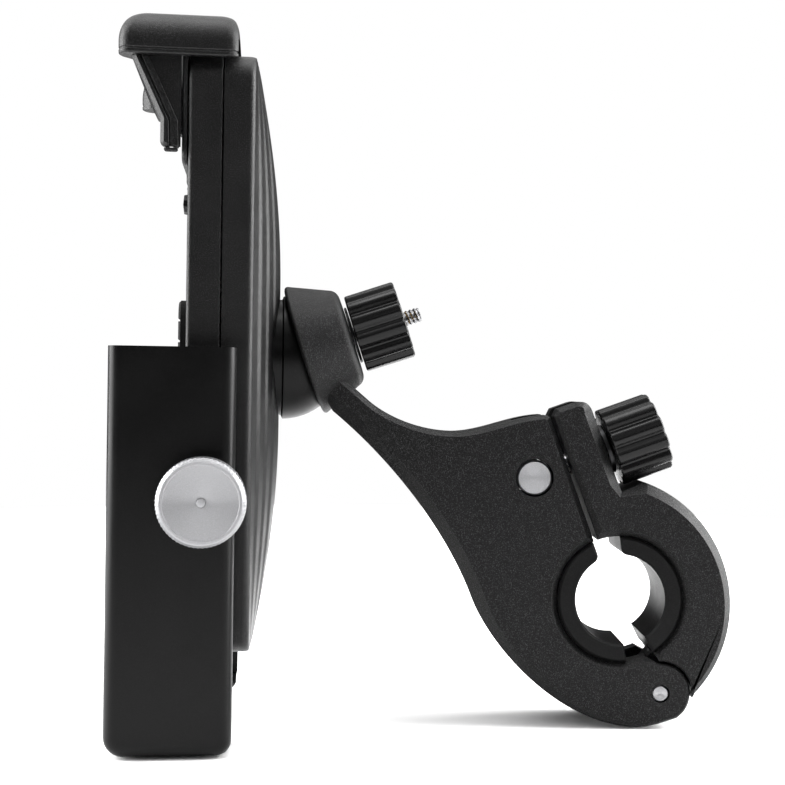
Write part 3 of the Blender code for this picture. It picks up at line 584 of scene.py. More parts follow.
def build_arm():
    """The arm: curved plate with wide lower chamfers, socket, half seat, stud slot and fork."""
    item = item_from("arm_body", plate(arm_outline(), HALF_WIDTH), ARM)
    fork = block((PIN[0] - KNUCKLE_R - 0.4, -LUG, -3.0), (PIN[0] + 12.0, LUG, 22.0))
    carve(item, [
        join(turned(socket_profile(), 96), STUD),
        cut(rod(STUD_BORE, 10.0, 22.0), STUD),
        cut(turned(sphere_arc(SOCKET_R, 180.0, 0.0, 40), 96), STUD),
        cut(rod(BARREL_BORE, -CROSSING, CROSSING, 48), across(BARREL)),
        split_slot(0.0, 12.0, 22.0),
        cut(fork, ARM),
        cut(rod(PIN_BORE, -CROSSING, CROSSING), across(PIN)),
    ])
    soften(item, 0.14, 24.0)
    dress(item, "arm", SANDBLAST, ["arm"])


def jaw_outline():
    """The hinged jaw's side view with its chamfers, counter-clockwise from the hinge."""
    face = SPLIT + SPLIT_GAP
    back = face + EAR
    path = run(arc(PIN, KNUCKLE_R + 0.6, 92.0, -7.0, 16), 0.4, 0.4)
    path += run(arc(JAW_CENTRE, JAW_R, -44.2, 71.0, 64), 1.4, 2.6)
    path += run([along_split(back, -10.8)], 1.0, 1.0)
    path += run([along_split(back, -8.0), along_split(back, 0.0), along_split(back, 10.5)], 2.4, 2.4)
    path += run(bezier(path[-1][0], along_split(back, 12.6), along_split(back - 0.8, 14.4),
                       along_split(back - 3.6, 14.4), 10), 2.4, 1.0)
    path += run([along_split(face + 1.4, 14.4), along_split(face, 13.0)], 1.0, 0.9)
    path += run(arc(SEAT, SEAT_R, seat_meeting(face), -57.0, 64), SEAT_CHAMFER, SEAT_CHAMFER)
    return path


def build_clamp_jaw():
    """The hinged jaw with its ear, open slot and hinge lug."""
    item = item_from("clamp_jaw_body", plate(jaw_outline(), HALF_WIDTH), ARM)
    lug = arc(PIN, KNUCKLE_R - 0.5, 130.0, 340.0, 30)
    lug += [(PIN[0] + 9.0, PIN[1] + 4.0), (PIN[0] + 8.0, PIN[1] + 12.0), (PIN[0] + 1.0, PIN[1] + 12.0)]
    carve(item, [
        join(prism("y", lug, 0.4 - LUG, LUG - 0.4), ARM),
        split_slot(7.0, 24.0, 20.0),
        cut(rod(PIN_BORE, -CROSSING, CROSSING), across(PIN)),
    ])
    soften(item, 0.14, 24.0)
    dress(item, "clamp_jaw", SANDBLAST, ["clamp_jaw"])


# Radius, and degrees back from the bush half's end, down its rounded upper corner.
ROUNDED_CORNER = ((12.75, 1.4), (12.21, 2.15), (11.76, 3.9), (11.46, 6.3), (BORE_R, 9.1))


def bush_path(start, end, upper_first):
    """One bush half's side view; the inner corner of its upper end is rounded."""
    outer = arc(SEAT, BUSH_R, start, end, 48)
    if upper_first:
        corner = [on_circle(SEAT, radius, start + back) for radius, back in reversed(ROUNDED_CORNER)]
        bore = arc(SEAT, BORE_R, end - 2.0, start + 10.0, 44) + corner
    else:
        corner = [on_circle(SEAT, radius, end - back) for radius, back in ROUNDED_CORNER]
        bore = corner + arc(SEAT, BORE_R, end - 10.0, start + 2.0, 44)
    return run(outer, 0.7, 0.7) + run(bore, 0.5, 0.5)


def build_bushes():
    """The two halves of the split bush, one on the arm and one on the hinged jaw."""
    halves = (("bush_fixed", "arm", 116.0, 277.0, True), ("bush_moving", "clamp_jaw", -58.0, 91.0, False))
    for name, body, start, end, upper_first in halves:
        path = bush_path(start, end, upper_first)
        item = item_from(name + "_half", plate(path, HALF_WIDTH - BUSH_SHORTER), ARM)
        soften(item, 0.35, 50.0, 3)
        dress(item, body, NYLON, [name])


def pin_profile(radius, half, chamfer, pip):
    """(radius, height) points of a pin with chamfered ends, and a centre mark of radius pip if given."""
    end = [(radius - chamfer, half), (radius, half - chamfer)]
    middle = [(0.0, half - 0.15), (pip, half - 0.15), (pip + 0.25, half)] if pip else [(0.0, half)]
    end = middle + end
    return [(r, -h) for r, h in end] + [(r, h) for r, h in reversed(end)]


def build_pins():
    """Hinge pin and barrel nut."""
    pin = item_from("hinge_pin_turned", turned(pin_profile(2.05, 9.8, 0.3, 0.35), 48), across(PIN))
    dress(pin, "arm", TURNED, ["hinge_pin"])
    nut = item_from("barrel_nut_turned", turned(pin_profile(4.5, 9.5, 0.5, 0.0), 72), across(BARREL))
    carve(nut, [cut(rod(3.1, 1.0, 8.0), SCREW)])
    dress(nut, "arm", TURNED, ["barrel_nut"])


# ---- screws and knobs

THREAD_DEPTH = 0.35
ROWS_PER_PITCH = 10
KNOB_R = 10.3
KNOB_HOLE = 4.0
FLUTES = 12
FLUTE_DEPTH = 1.15


def threaded(radius, pitch, start, end, head=()):
    """A round bar along Z, plain up to start, with a thread from there to its chamfered tip at end."""
    depth = THREAD_DEPTH * pitch
    rows = max(4, int((end - start) / pitch * ROWS_PER_PITCH))
    profile = list(head)
    profile += [(radius, start + (end - start) * row / rows) for row in range(rows + 1)]
    profile.append((0.0, end))

    def reach(out, height, angle):
        """Lower the surface along the thread's groove."""
        if out != radius or height < start:
            return out
        turn = (height / pitch - angle / (2.0 * math.pi)) % 1.0
        tip = max(0.0, 1.0 - (end - height) / (0.6 * pitch))
        groove_depth = abs(2.0 * turn - 1.0) * min(1.0, (height - start) / pitch)
        return out - depth * max(groove_depth, tip)

    return turned(profile, 28, reach)


def knob_shape(base, top):
    """A knob with rounded lobes between narrow grooves, a rounded rim and a recessed end."""
    profile = [(KNOB_HOLE, base), (KNOB_R - 0.5, base)]
    profile += arc((KNOB_R - 0.5, base + 0.5), 0.5, -90.0, 0.0, 4)[1:]
    profile += arc((KNOB_R - 0.7, top - 0.7), 0.7, 0.0, 90.0, 6)
    profile += [(KNOB_HOLE + 2.6, top), (KNOB_HOLE + 2.3, top - 0.5)]
    profile += [(KNOB_HOLE + 0.5, top - 0.5), (KNOB_HOLE, top - 0.9)]

    def reach(out, height, angle):
        """Sink the flutes into the outer part of the knob."""
        share = min(1.0, max(0.0, (out - KNOB_R * 0.72) / (KNOB_R * 0.2)))
        wave = 0.5 + 0.5 * math.cos(FLUTES * angle)
        return out - FLUTE_DEPTH * share * wave ** 2.2

    return turned(profile, 240, reach)


def insert_shape(base, top):
    """The knob's brass insert, with a chamfered mouth."""
    inner, outer = 2.9, 3.7
    profile = [(inner, base + 0.2), (outer, base + 0.2), (outer, top - 0.8)]
    profile += [(outer - 0.25, top - 0.6), (inner + 0.2, top - 0.6), (inner, top - 0.9)]
    return turned(profile, 48)


def build_knob(name, body, place):
    """One knob and its insert, at the height of its CAD node."""
    low, high = node_box(name, place)
    knob = item_from(name + "_fluted", knob_shape(low.z, high.z), place)
    dress(knob, body, KNOB, [name], 28.0)
    insert = item_from(name + "_core", insert_shape(low.z, high.z), place)
    dress(insert, body, BRASS, [name + "_insert"])


def build_ring(name, body, place, inner, outer, look):
    """A washer or clip at the height of its CAD node, with small chamfers."""
    low, high = node_box(name, place)
    edge = 0.2
    profile = [(inner, low.z + edge), (inner + edge, low.z), (outer - edge, low.z), (outer, low.z + edge)]
    profile += [(outer, high.z - edge), (outer - edge, high.z)]
    profile += [(inner + edge, high.z), (inner, high.z - edge)]
    item = item_from(name + "_ring", turned(profile, 64), place)
    dress(item, body, look, [name])


def build_screws():
    """Tilt stud, clamp stud, both washers and both knobs."""
    low, high = node_box("tilt_stud", STUD)
    head = [(0.0, low.z), (3.3, low.z), (3.6, low.z + 0.3), (3.6, low.z + 2.9), (2.0, low.z + 2.9)]
    stud = item_from("tilt_stud_threaded", threaded(2.0, 1.1, 30.0, high.z, head), STUD)
    dress(stud, "arm", DARK_STEEL, ["tilt_stud"])
    low, high = node_box("clamp_stud", SCREW)
    head = [(0.0, low.z), (2.1, low.z), (2.5, low.z + 0.4)]
    stud = item_from("clamp_stud_threaded", threaded(2.5, 0.8, low.z + 0.6, high.z, head), SCREW)
    dress(stud, "clamp_jaw", STEEL, ["clamp_stud"])
    build_ring("tilt_washer", "tilt_washer", STUD, 2.4, 7.5, BLACKENED)
    build_ring("clamp_washer", "clamp_jaw", SCREW, 2.8, 6.5, BLACKENED)
    build_knob("tilt_knob", "tilt_knob", STUD)
    build_knob("clamp_knob", "clamp_knob", SCREW)


THUMB_SHAFT = 2.0
THUMB_PITCH = 0.7
KNURL_TEETH = 64


def thumb_profile(tip, shoulder, face, radius):
    """(radius, height) points of a thumb screw: shaft, collar, rim, and dished face with a centre mark."""
    length = shoulder - tip - 1.0
    rows = int(length / THUMB_PITCH * 6)
    profile = [(0.0, tip), (1.5, tip), (THUMB_SHAFT, tip + 0.5)]
    profile += [(THUMB_SHAFT, tip + 0.5 + length * row / rows) for row in range(1, rows + 1)]
    profile += [(5.0, shoulder), (5.0, shoulder + 1.5), (radius - 0.9, shoulder + 1.5)]
    low = shoulder + 2.1
    high = face - 0.9
    profile += [(radius, low + (high - low) * row / 12) for row in range(13)]
    profile += [(radius - 0.75, face - 0.12), (radius - 1.0, face)]
    profile += [(radius - 1.5, face), (radius - 1.75, face - 0.25)]
    profile += [(1.5, face - 0.95), (1.1, face - 1.0), (0.95, face - 0.75), (0.5, face - 0.6)]
    profile.append((0.0, face - 0.58))
    return profile


def thumb_shape(tip, shoulder, face, radius):
    """A thumb screw with its thread and its knurled rim."""

    def reach(out, height, angle):
        """Cut the shaft's thread and the rim's diamond knurl."""
        turn = angle / (2.0 * math.pi)
        if abs(out - THUMB_SHAFT) < TINY:
            groove_depth = abs(2.0 * ((height / THUMB_PITCH - turn) % 1.0) - 1.0)
            return out - 0.35 * groove_depth * min(1.0, (height - tip) / THUMB_PITCH)
        if abs(out - radius) > TINY:
            return out
        rows = [turn * KNURL_TEETH + lean * height * 0.9 for lean in (-1.0, 1.0)]
        return out - 0.16 * sum(abs(2.0 * (row % 1.0) - 1.0) for row in rows)

    return turned(thumb_profile(tip, shoulder, face, radius), 256, reach)


def build_thumb_screws():
    """Both thumb screws and the clips that hold them in the jaws."""
    for name, side in SIDES:
        place = thumb_place(side)
        low, high = node_box("thumb_screw_" + name, place)
        shoulder = node_box("jaw_" + name, place)[1].z + 0.3
        shape = thumb_shape(low.z, shoulder, high.z, high.x)
        screw = item_from("thumb_screw_" + name + "_knurled", shape, place)
        dress(screw, "screw_" + name, TURNED, ["thumb_screw_" + name], 24.0)
        build_ring("screw_clip_" + name, "screw_" + name, place, 2.3, 4.2, STEEL)


# ---- ball joint


def build_ball():
    """The dome with its slotted window, seen between the cradle and the socket."""
    profile = sphere_arc(15.9, 0.0, 90.0, 32)
    profile += [(15.0, -0.4), (15.0, -6.8), (17.6, -6.8), (17.6, -8.6), (13.4, -8.6)]
    profile += sphere_arc(13.6, 90.0, 0.0, 24)
    item = item_from("ball_dome_turned", turned(profile, 96), facing_back())
    window = rounded_rectangle((-5.5, -7.8), (5.5, 8.3), 2.5)
    carve(item, [cut(prism("x", window, 4.0, 19.0))])
    dress(item, "ball_dome", DOME, ["ball_dome"])


# ---- cradle body

CORNER = 7.0
WALL = 2.4
STEPS = (0.87, 0.7, 0.52)
STEP = 0.55
COVER_EDGE = -7.6
COVER_END = -6.9
COVER_FLAT = 18.0
COVER_FILLET = 1.7
COVER_POINTS = 160
PAD_STEP = 5.0


def corner_width(z, half_height, half_width):
    """Half the width at height z of a panel with round corners."""
    into = max(0.0, abs(z) - (half_height - CORNER))
    return half_width - CORNER + math.sqrt(max(0.0, CORNER ** 2 - into ** 2))


def cover_reach(share, edge, peak):
    """How far back the cover reaches at a share of its half width: a dome with long rounded steps."""
    fade = min(1.0, (peak - edge) / 5.0)
    depth = edge + (peak - edge - fade * STEP * len(STEPS)) * (1.0 - share * share)
    for place in STEPS:
        depth += fade * STEP / (1.0 + math.exp((share - place) / 0.008))
    return depth


def cover_section(z, width, front, peak, half):
    """One level of the cover as (x, y) points, with its sides rounded into its back."""
    beyond = max(0.0, abs(z) - COVER_FLAT)
    top = peak + (COVER_END - peak) * (beyond / (half - COVER_FLAT)) ** 2
    curve = []
    for index in range(8):
        angle = math.pi / 16 * index
        curve.append((COVER_EDGE + COVER_FILLET * (math.sin(angle) - 1.0),
                      width + COVER_FILLET * (math.cos(angle) - 1.0)))
    points = [(front, -width), (front, width)] + curve
    for index in range(COVER_POINTS + 1):
        share = 1.0 - 2.0 * index / COVER_POINTS
        points.append((cover_reach(abs(share), COVER_EDGE, top), (width - COVER_FILLET * 0.8) * share))
    return points + [(x, -y) for x, y in reversed(curve)]


def shell_hollow(front, half, width):
    """A cutter for the cover's inside, with a shallow vaulted back."""
    levels = []
    for index in range(-12, 13):
        z = half * index / 12
        y = corner_width(z, half, width)
        outline = [(front, -y), (front, y), (-12.0, y), (-8.0, y * 0.6), (-7.0, 0.0)]
        levels.append((outline + [(-8.0, -y * 0.6), (-12.0, -y)], z))
    return stack("z", levels)


def build_back_shell():
    """The domed cover: rounded rim, long ridges, and the opening that the ball's neck turns in."""
    low, high = node_box("back_shell")
    levels = []
    for index in range(-40, 41):
        z = high.z * math.sin(math.pi / 2 * index / 40)
        width = corner_width(z * 0.9995, high.z, high.y)
        levels.append((cover_section(z, width, low.x, high.x, high.z), z))
    item = item_from("back_shell_domed", stack("z", levels))
    carve(item, [
        cut(shell_hollow(low.x - 3.0, high.z - WALL, high.y - WALL)),
        cut(rod(15.4, -16.0, 2.0, 96), facing_back()),
    ])
    dress(item, "cradle", TEXTURED, ["back_shell"])


def tray_shape(low, high):
    """The tray's outer form: round corners, a rounded front edge and a small chamfer at the back."""
    outline = rounded_rectangle((low.y, low.z), (high.y, high.z), CORNER, 12)
    levels = eased_front(outline, low.x, 1.1, 6)
    levels.append((outline, high.x - 0.25))
    levels.append((inset(outline, [0.25] * len(outline)), high.x))
    return stack("x", levels)


def tray_hollow(low, high, screw_z):
    """A cutter for the tray's inside, narrower where the thumb screws' nuts sit."""
    y, z = high.y - WALL, high.z - WALL
    top, bottom = screw_z + 6.0, screw_z - 6.0
    right = [(y, -z), (y, bottom), (20.0, bottom), (20.0, top), (y, top), (y, z)]
    left = [(-a, b) for a, b in reversed(right)]
    return cut(prism("x", left[-1:] + right + left[:-1], low.x + 2.5, high.x + 2.0))


def cross_bore(x, z, radius):
    """A cutter for a round bore along the cradle's y."""
    return cut(rod(radius, -34.0, 34.0), in_plane(CRADLE, x, z) @ turn_about("X", -90.0))


def tray_openings(low, high, screw_z):
    """Cutters for the tray's bores, nut slots, slide slot and screw holes."""
    guide_low, guide_high = node_box("guide_rod_near_upper")
    guide_x = (guide_low.x + guide_high.x) / 2
    steps = [cross_bore(guide_x, screw_z, 2.4)]
    for name in ("upper", "lower"):
        guide_low, guide_high = node_box("guide_rod_near_" + name)
        steps.append(cross_bore(guide_x, (guide_low.z + guide_high.z) / 2, 1.9))
    boxes = (
        ((-22.0, -26.6, screw_z - 3.6), (high.x + 2.0, -22.0, screw_z + 3.6)),
        ((-22.0, 22.0, screw_z - 3.6), (high.x + 2.0, 26.6, screw_z + 3.6)),
        ((low.x - 1.0, -4.4, 46.4), (low.x + 3.0, 4.4, high.z + 1.0)),
        ((low.x + 2.0, -8.6, 60.0), (-16.9, 8.6, high.z + 1.0)),
    )
    steps += [cut(block(*corners)) for corners in boxes]
    for index in range(1, 5):
        screw_low, screw_high = node_box("shell_screw_" + str(index))
        middle = (screw_low + screw_high) / 2
        hole = rod(1.7, low.x - 1.0, low.x + 4.0)
        steps.append(cut(hole, facing_back(middle.y, middle.z)))
    return steps


def build_front_plate():
    """The tray in front: rounded front edges, slide slot and bores for the rods and screws."""
    low, high = node_box("front_plate")
    screw_z = THUMB.z - PIVOT[1]
    item = item_from("front_plate_tray", tray_shape(low, high))
    carve(item, [tray_hollow(low, high, screw_z)] + tray_openings(low, high, screw_z))
    dress(item, "cradle", TEXTURED, ["front_plate"])


def build_pad(node, kind, shape, body, grooves=()):
    """One rubber pad in its CAD node's stead."""
    item = item_from(node + kind, shape)
    if grooves:
        carve(item, grooves)
    dress(item, body, RUBBER, [node])


def groove(low, high, z):
    """A cutter for one level groove of a pad, between two (x, y) corners."""
    return cut(block((low[0], low[1], z - 0.35), (high[0], high[1], z + 0.35)))


def build_front_pad():
    """The pad that the phone's back rests on, with level grooves across its face."""
    low, high = node_box("front_pad")
    outline = rounded_rectangle((low.y, low.z), (high.y, high.z), 4.0)
    grooves = []
    z = low.z + PAD_STEP
    while z < high.z - PAD_STEP / 2:
        grooves.append(groove((low.x - 1.0, low.y - 1.0), (low.x + 0.45, high.y + 1.0), z))
        z += PAD_STEP
    build_pad("front_pad", "_ribbed", slab("x", outline, high.x, low.x, 0.5), "cradle", grooves)


# ---- hook

FINGER_INNER = 27.4
FINGER_OUTER = 30.3
CAP_UNDERSIDE = 73.8
SKIRT_BOTTOM = 69.4
LIP_TOP = -36.9
LIP_BEND = -36.7
TIP_R = 1.3
WAIST = 2.8
FLARE = 4.0
CAP_CORNER = 3.0
CAP_WALL = 1.7
FAR_PAD_FRONT = -27.0


def finger_band(first, second, half, chamfer, tip, bend, front):
    """One band of a finger's slanted front, between two distances behind its outer line.

    Above the skirt it narrows to its outer line, out of sight inside the cap.
    """
    front_line = [(LIP_TOP + first, CAP_UNDERSIDE), (LIP_BEND + first, SKIRT_BOTTOM), (front + first, bend)]
    front_line += arc((front + TIP_R + first, tip + TIP_R), TIP_R, 180.0, 270.0, 5)
    back_line = [(front + second + 0.4, tip), (front + second + 0.2, bend - 0.4)]
    back_line.append((LIP_BEND + second, SKIRT_BOTTOM))
    path = run(front_line, chamfer, chamfer) + run(back_line, 0.12, 0.12)
    return plate(path, half, [(LIP_TOP + second, CAP_UNDERSIDE)])


def build_finger(name, side, bend, front, chamfer):
    """One finger of the hook: an outer band, a groove, an inner band and a recessed web."""
    tip = node_box("hook")[0].z
    back = node_box("hook_slide")[0].x - 0.3
    half = (FINGER_OUTER - FINGER_INNER) / 2
    place = CRADLE @ Matrix.Translation((0.0, side * (FINGER_OUTER + FINGER_INNER) / 2 * MM, 0.0))
    web = [(-35.6, CAP_UNDERSIDE), (-35.4, SKIRT_BOTTOM), (front + 1.3, bend), (front + 1.5, tip + 0.2)]
    web += [(back, tip + 0.2), (back, CAP_UNDERSIDE)]
    outer = finger_band(0.0, 1.75, half, chamfer, tip, bend, front)
    item = item_from("hook_finger_" + name, outer, place)
    carve(item, [
        join(finger_band(2.25, 3.9, half - 0.1, 0.2, tip, bend, front), place),
        join(prism("y", web, 0.75 - half, half - 0.75), place),
    ])
    soften(item, 0.1, 38.0)
    dress(item, "hook", TEXTURED)


def cap_outline(low, high):
    """A rounded rectangle whose front edge is drawn back between flared ends."""
    outline = []
    points = rounded_rectangle(low, high, CAP_CORNER)
    bend = math.pi / 2 / FLARE
    flare = [(along, WAIST * math.sin(along * bend) ** 2) for along in (1, 2, 3, 4)]
    for point, following in zip(points, points[1:] + points[:1]):
        outline.append(point)
        on_front = max(point[0], following[0]) < low[0] + 0.001
        if on_front and abs(point[1] - following[1]) > 20.0:
            sign = math.copysign(1.0, following[1] - point[1])
            outline += [(low[0] + depth, point[1] + sign * along) for along, depth in flare]
            outline += [(low[0] + depth, following[1] - sign * along) for along, depth in reversed(flare)]
    return outline


def cap_shape(low, high):
    """The cap: a small bead round its bottom edge, and a top drawn in like a pillow."""
    bead = ((0.0, 0.5), (0.12, 0.25), (0.35, 0.05), (1.0, 0.0), (1.15, 0.2), (1.45, 0.2), (1.6, 0.02))
    levels = []
    for rise, tuck in bead:
        outline = cap_outline((low.x + tuck, low.y + tuck), (high.x - tuck, high.y - tuck))
        levels.append((outline, low.z + rise))
    front_pull, back_pull, side_pull, start = 5.4, 2.6, 6.5, 3.2
    for index in range(17):
        turn = math.pi / 2 * index / 16
        pull = 1.0 - math.cos(turn)
        outline = cap_outline((low.x + front_pull * pull, low.y + side_pull * pull),
                              (high.x - back_pull * pull, high.y - side_pull * pull))
        levels.append((outline, low.z + start + (high.z - low.z - start) * math.sin(turn)))
    return stack("z", levels)


def build_hook():
    """The hook: pillow-shaped cap with its skirt, the lip inside it, and two banded fingers."""
    low, high = node_box("hook")
    low.z = SKIRT_BOTTOM
    item = item_from("hook_cap", cap_shape(low, high))
    hollow = block((low.x + WAIST + CAP_WALL, low.y + CAP_WALL, low.z - 5.0),
                   (high.x + 5.0, high.y - CAP_WALL, CAP_UNDERSIDE))
    carve(item, [cut(hollow)])
    soften(item, 0.12, 38.0)
    dress(item, "hook", TEXTURED, ["hook"])
    lip = [(LIP_TOP, CAP_UNDERSIDE), (LIP_BEND, SKIRT_BOTTOM), (-35.2, 66.4), (-34.9, 66.1), (-33.3, 66.1)]
    lip += [(-34.4, SKIRT_BOTTOM), (-34.5, CAP_UNDERSIDE)]
    item = item_from("hook_lip", prism("y", lip, -FINGER_INNER, FINGER_INNER))
    dress(item, "hook", TEXTURED)
    build_finger("near", -1, 54.7, -29.9, 0.9)
    build_finger("far", 1, 61.0, -27.2, 0.3)


def build_slide():
    """The slide plate in front of the body, with its stem."""
    low, high = node_box("hook_slide")
    front = node_box("front_plate")[0].x
    outline = rounded_rectangle((low.y, low.z), (high.y, high.z), 3.0)
    levels = eased_front(outline, low.x, 0.7, 5) + [(outline, front - 0.3)]
    item = item_from("hook_slide_plate", stack("x", levels))
    steps = [join(block((front - 1.0, -4.0, 47.2), (high.x, 4.0, 57.0)))]
    for name in ("lower", "upper"):
        screw_low, screw_high = node_box("keeper_screw_" + name)
        place = facing_back(0.0, (screw_low.z + screw_high.z) / 2)
        steps.append(cut(rod(1.3, front - 1.0, front + 4.0), place))
    carve(item, steps)
    dress(item, "hook", TEXTURED, ["hook_slide"])


def build_spring():
    """The return spring as a round-wire coil, with its ends on the post's side and the keeper's."""
    low, high = node_box("hook_spring")
    middle = (low + high) / 2
    turns, per_turn, sides, wire = 14, 24, 8, 0.32
    coil = (high.y - low.y) / 2 - wire
    count = turns * per_turn
    centres = []
    for index in range(count + 1):
        x, y = on_circle(middle, coil, 360.0 * index / per_turn)
        centres.append(Vector((x, y, low.z + wire + (high.z - low.z - 2.0 * wire) * index / count)))
    ring = [Vector((*on_circle((0.0, 0.0), wire, 360.0 * index / sides), 0.0)) for index in range(sides)]
    loops = []
    for index, centre in enumerate(centres):
        ahead = centres[min(index + 1, count)] - centres[max(index - 1, 0)]
        turn = ahead.to_track_quat("Z", "Y").to_matrix()
        loops.append([centre + turn @ corner for corner in ring])
    item = item_from("hook_spring_coil", loft(loops))
    dress(item, "hook", STEEL, ["hook_spring"])


def build_hook_pads():
    """The pads under the hook's fingers; the far one is cut back behind its slimmer finger's front."""
    for name, _ in SIDES:
        low, high = node_box("hook_pad_" + name)
        if name == "far":
            low.x = max(low.x, FAR_PAD_FRONT)
        outline = rounded_rectangle((low.x, low.y), (high.x, high.y), 0.8)
        build_pad("hook_pad_" + name, "_tip", slab("z", outline, high.z, low.z, 0.2), "hook")


# ---- side jaws

JAW_WALL = 2.2
LIP = 7.0
FLANGE = 4.2
FRONT_CORNER = 4.6
BACK_CORNER = 3.5
RIM = 3.2


def edges_at(shape, places):
    """The edges whose ends lie at given places, as {axis: millimetres}."""
    found = []
    for edge in shape.edges:
        gaps = [abs(vertex.co[axis] / MM - place) for vertex in edge.verts for axis, place in places.items()]
        if max(gaps) < 0.01:
            found.append(edge)
    return found


def round_edges(shape, edges, radius):
    """Round chosen edges of a shape."""
    bmesh.ops.bevel(shape, geom=edges, offset=radius * MM, offset_type="OFFSET", segments=8, profile=0.5,
                    affect="EDGES")


def jaw_blank(low, high, side):
    """The jaw's outer form: a block with rounded bottom corners and a rounded rim round its outer face."""
    shape = block(low, high)
    for x, radius in ((low.x, FRONT_CORNER), (high.x, BACK_CORNER)):
        round_edges(shape, edges_at(shape, {0: x, 2: low.z}), radius)
    outer = high.y if side > 0 else low.y
    open_edge = edges_at(shape, {1: outer, 2: high.z})
    rim = [edge for edge in edges_at(shape, {1: outer}) if edge not in open_edge]
    round_edges(shape, rim, RIM)
    return shape


def build_side_jaw(name, side):
    """One side jaw: rounded shell with its front lip, short back flange and foot."""
    low, high = node_box("jaw_" + name)
    item = item_from("jaw_" + name + "_shell", jaw_blank(low, high, side))
    face = high.y if side > 0 else low.y
    mouth = low.y - 4.0 if side > 0 else high.y + 4.0
    floor = low.z + JAW_WALL

    def hollow(x_low, x_high, depth, z_low):
        """A cutter from the open side up to a depth short of the outer face."""
        sides = sorted((mouth, face - side * depth))
        return cut(block((x_low, sides[0], z_low), (x_high, sides[1], high.z + 5.0)))

    carve(item, [
        hollow(low.x + JAW_WALL, high.x - JAW_WALL, JAW_WALL, floor),
        hollow(low.x - 5.0, low.x + JAW_WALL + 0.1, LIP, floor + 0.01),
        hollow(high.x - JAW_WALL - 0.1, high.x + 5.0, FLANGE, floor + 0.01),
        cut(rod(2.4, abs(face) - 5.0, abs(face) + 3.0), thumb_place(side)),
    ])
    soften(item, 0.35, 50.0, 3)
    dress(item, "jaw_" + name, GLOSS, ["jaw_" + name])


def build_jaw_pads(name, side):
    """The grooved side pad and the foot pad of one jaw."""
    low, high = node_box("jaw_pad_" + name)
    outline = rounded_rectangle((low.x, low.z), (high.x, high.z), 2.0)
    face, back = (low.y, high.y) if side > 0 else (high.y, low.y)
    sides = sorted((face - side * 1.0, face + side * 0.4))
    heights = [low.z + (high.z - low.z) * index / 14 for index in range(1, 14)]
    grooves = [groove((low.x - 1.0, sides[0]), (high.x + 1.0, sides[1]), z) for z in heights]
    build_pad("jaw_pad_" + name, "_strip", slab("y", outline, back, face, 0.4), "jaw_" + name, grooves)
    low, high = node_box("foot_pad_" + name)
    outline = rounded_rectangle((low.x, low.y), (high.x, high.y), 1.5)
    build_pad("foot_pad_" + name, "_strip", slab("z", outline, low.z, high.z, 0.4), "jaw_" + name)


# ---- parts kept as they are

KEPT_LOOKS = {
    "captive_nut": BRASS,
    "shell_screw": BLACKENED,
    "slide_keeper": BLACKENED,
    "turntable_ring": INNER,
    "ball_liner": INNER,
}


def paint_kept_nodes():
    """Give the CAD nodes that stay their procedural materials; any not in the list are steel."""
    for name, item in frame["nodes"].items():
        if item.hide_render:
            continue
        look = next((value for start, value in KEPT_LOOKS.items() if name.startswith(start)), STEEL)
        item.data.materials.clear()
        item.data.materials.append(look)
        item.data.set_sharp_from_angle(angle=math.radians(35.0))


# ---- studio

# Each lamp's name, place and size in metres, and power in watts.
LAMPS = (
    ("top", (0.0, 0.1, 1.1), (2.4, 2.4), 28.0),
    ("edges", (0.0, -0.05, 0.9), (1.4, 0.22), 9.0),
    ("right", (0.75, 0.15, 0.3), (0.5, 0.8), 24.0),
    ("left", (-0.72, -0.05, 0.25), (0.6, 0.8), 20.0),
    ("front", (0.1, -1.3, 0.7), (0.8, 0.5), 1.0),
)
LAMP_TARGET = (0.0, 0.0, 0.08)
FLOOR_RADIUS = 0.6
FLOOR_GAP = 0.0004
FILL = 0.07
CAMERA_X = -0.0066
CAMERA_AWAY = 0.323
CAMERA_Z = 0.0839
CAMERA_ROLL = 0.8
FOCAL = 56.8


def area_light(name, place, size, power):
    """A soft rectangular lamp aimed at the middle of the part."""
    lamp = bpy.data.lights.new(name, "AREA")
    lamp.shape = "RECTANGLE"
    lamp.size, lamp.size_y = size
    lamp.energy = power
    item = bpy.data.objects.new(name, lamp)
    item.location = place
    item.rotation_euler = (Vector(LAMP_TARGET) - Vector(place)).to_track_quat("-Z", "Y").to_euler()
    bpy.context.scene.collection.objects.link(item)


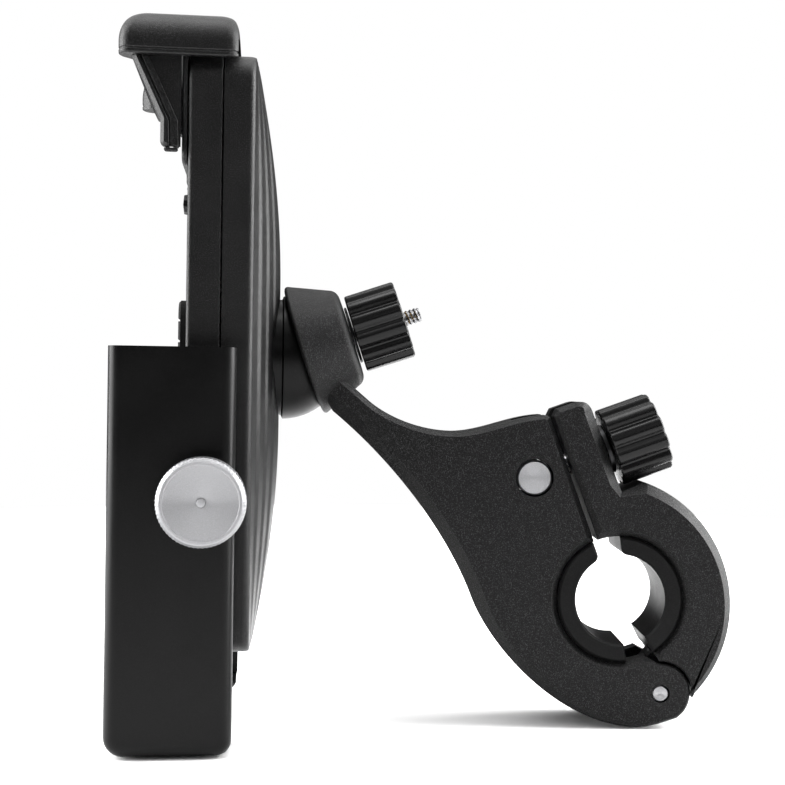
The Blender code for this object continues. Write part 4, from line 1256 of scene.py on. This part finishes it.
def build_floor():
    """A pale round floor just under the part."""
    shape = bmesh.new()
    bmesh.ops.create_circle(shape, cap_ends=True, segments=96, radius=FLOOR_RADIUS)
    floor = item_from("floor", shape, Matrix.Translation((0.0, 0.0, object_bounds()[0][2] - FLOOR_GAP)))
    look = bpy.data.materials.new("floor_white")
    look.use_nodes = True
    shader = look.node_tree.nodes["Principled BSDF"]
    shader.inputs["Base Color"].default_value = (0.9, 0.9, 0.9, 1.0)
    shader.inputs["Roughness"].default_value = 0.6
    floor.data.materials.append(look)


def build_world():
    """Plain white surroundings that light the object only softly."""
    world = bpy.data.worlds.new("studio")
    bpy.context.scene.world = world
    world.use_nodes = True
    tree = world.node_tree
    back = tree.nodes["Background"]
    sight = tree.nodes.new("ShaderNodeLightPath")
    strength = ramp(tree, sight.outputs["Is Camera Ray"], 0.0, 1.0, FILL, 1.0)
    back.inputs["Color"].default_value = (1.0, 1.0, 1.0, 1.0)
    link(tree, strength, back.inputs["Strength"])


def build_camera():
    """The camera stands level beside the mount, a little turned about its own axis."""
    lens = bpy.data.cameras.new("camera")
    lens.lens = FOCAL
    lens.sensor_width = 36.0
    lens.clip_start = 0.01
    camera = bpy.data.objects.new("camera", lens)
    place = Matrix.Translation((CAMERA_X, ARM_Y * MM - CAMERA_AWAY, CAMERA_Z))
    camera.matrix_world = place @ turn_about("X", 90.0) @ turn_about("Z", CAMERA_ROLL)
    bpy.context.scene.collection.objects.link(camera)
    bpy.context.scene.camera = camera


def build_studio():
    """Floor, surroundings, lamps and camera."""
    build_floor()
    build_world()
    for name, place, size, power in LAMPS:
        area_light(name, place, size, power)
    bpy.context.scene.view_settings.view_transform = "Standard"
    build_camera()


def main():
    """Build every piece, then the studio."""
    build_arm()
    build_clamp_jaw()
    build_bushes()
    build_pins()
    build_screws()
    build_thumb_screws()
    build_ball()
    build_back_shell()
    build_front_plate()
    build_front_pad()
    build_hook()
    build_slide()
    build_spring()
    build_hook_pads()
    for name, side in SIDES:
        build_side_jaw(name, side)
        build_jaw_pads(name, side)
    paint_kept_nodes()
    build_studio()


main()
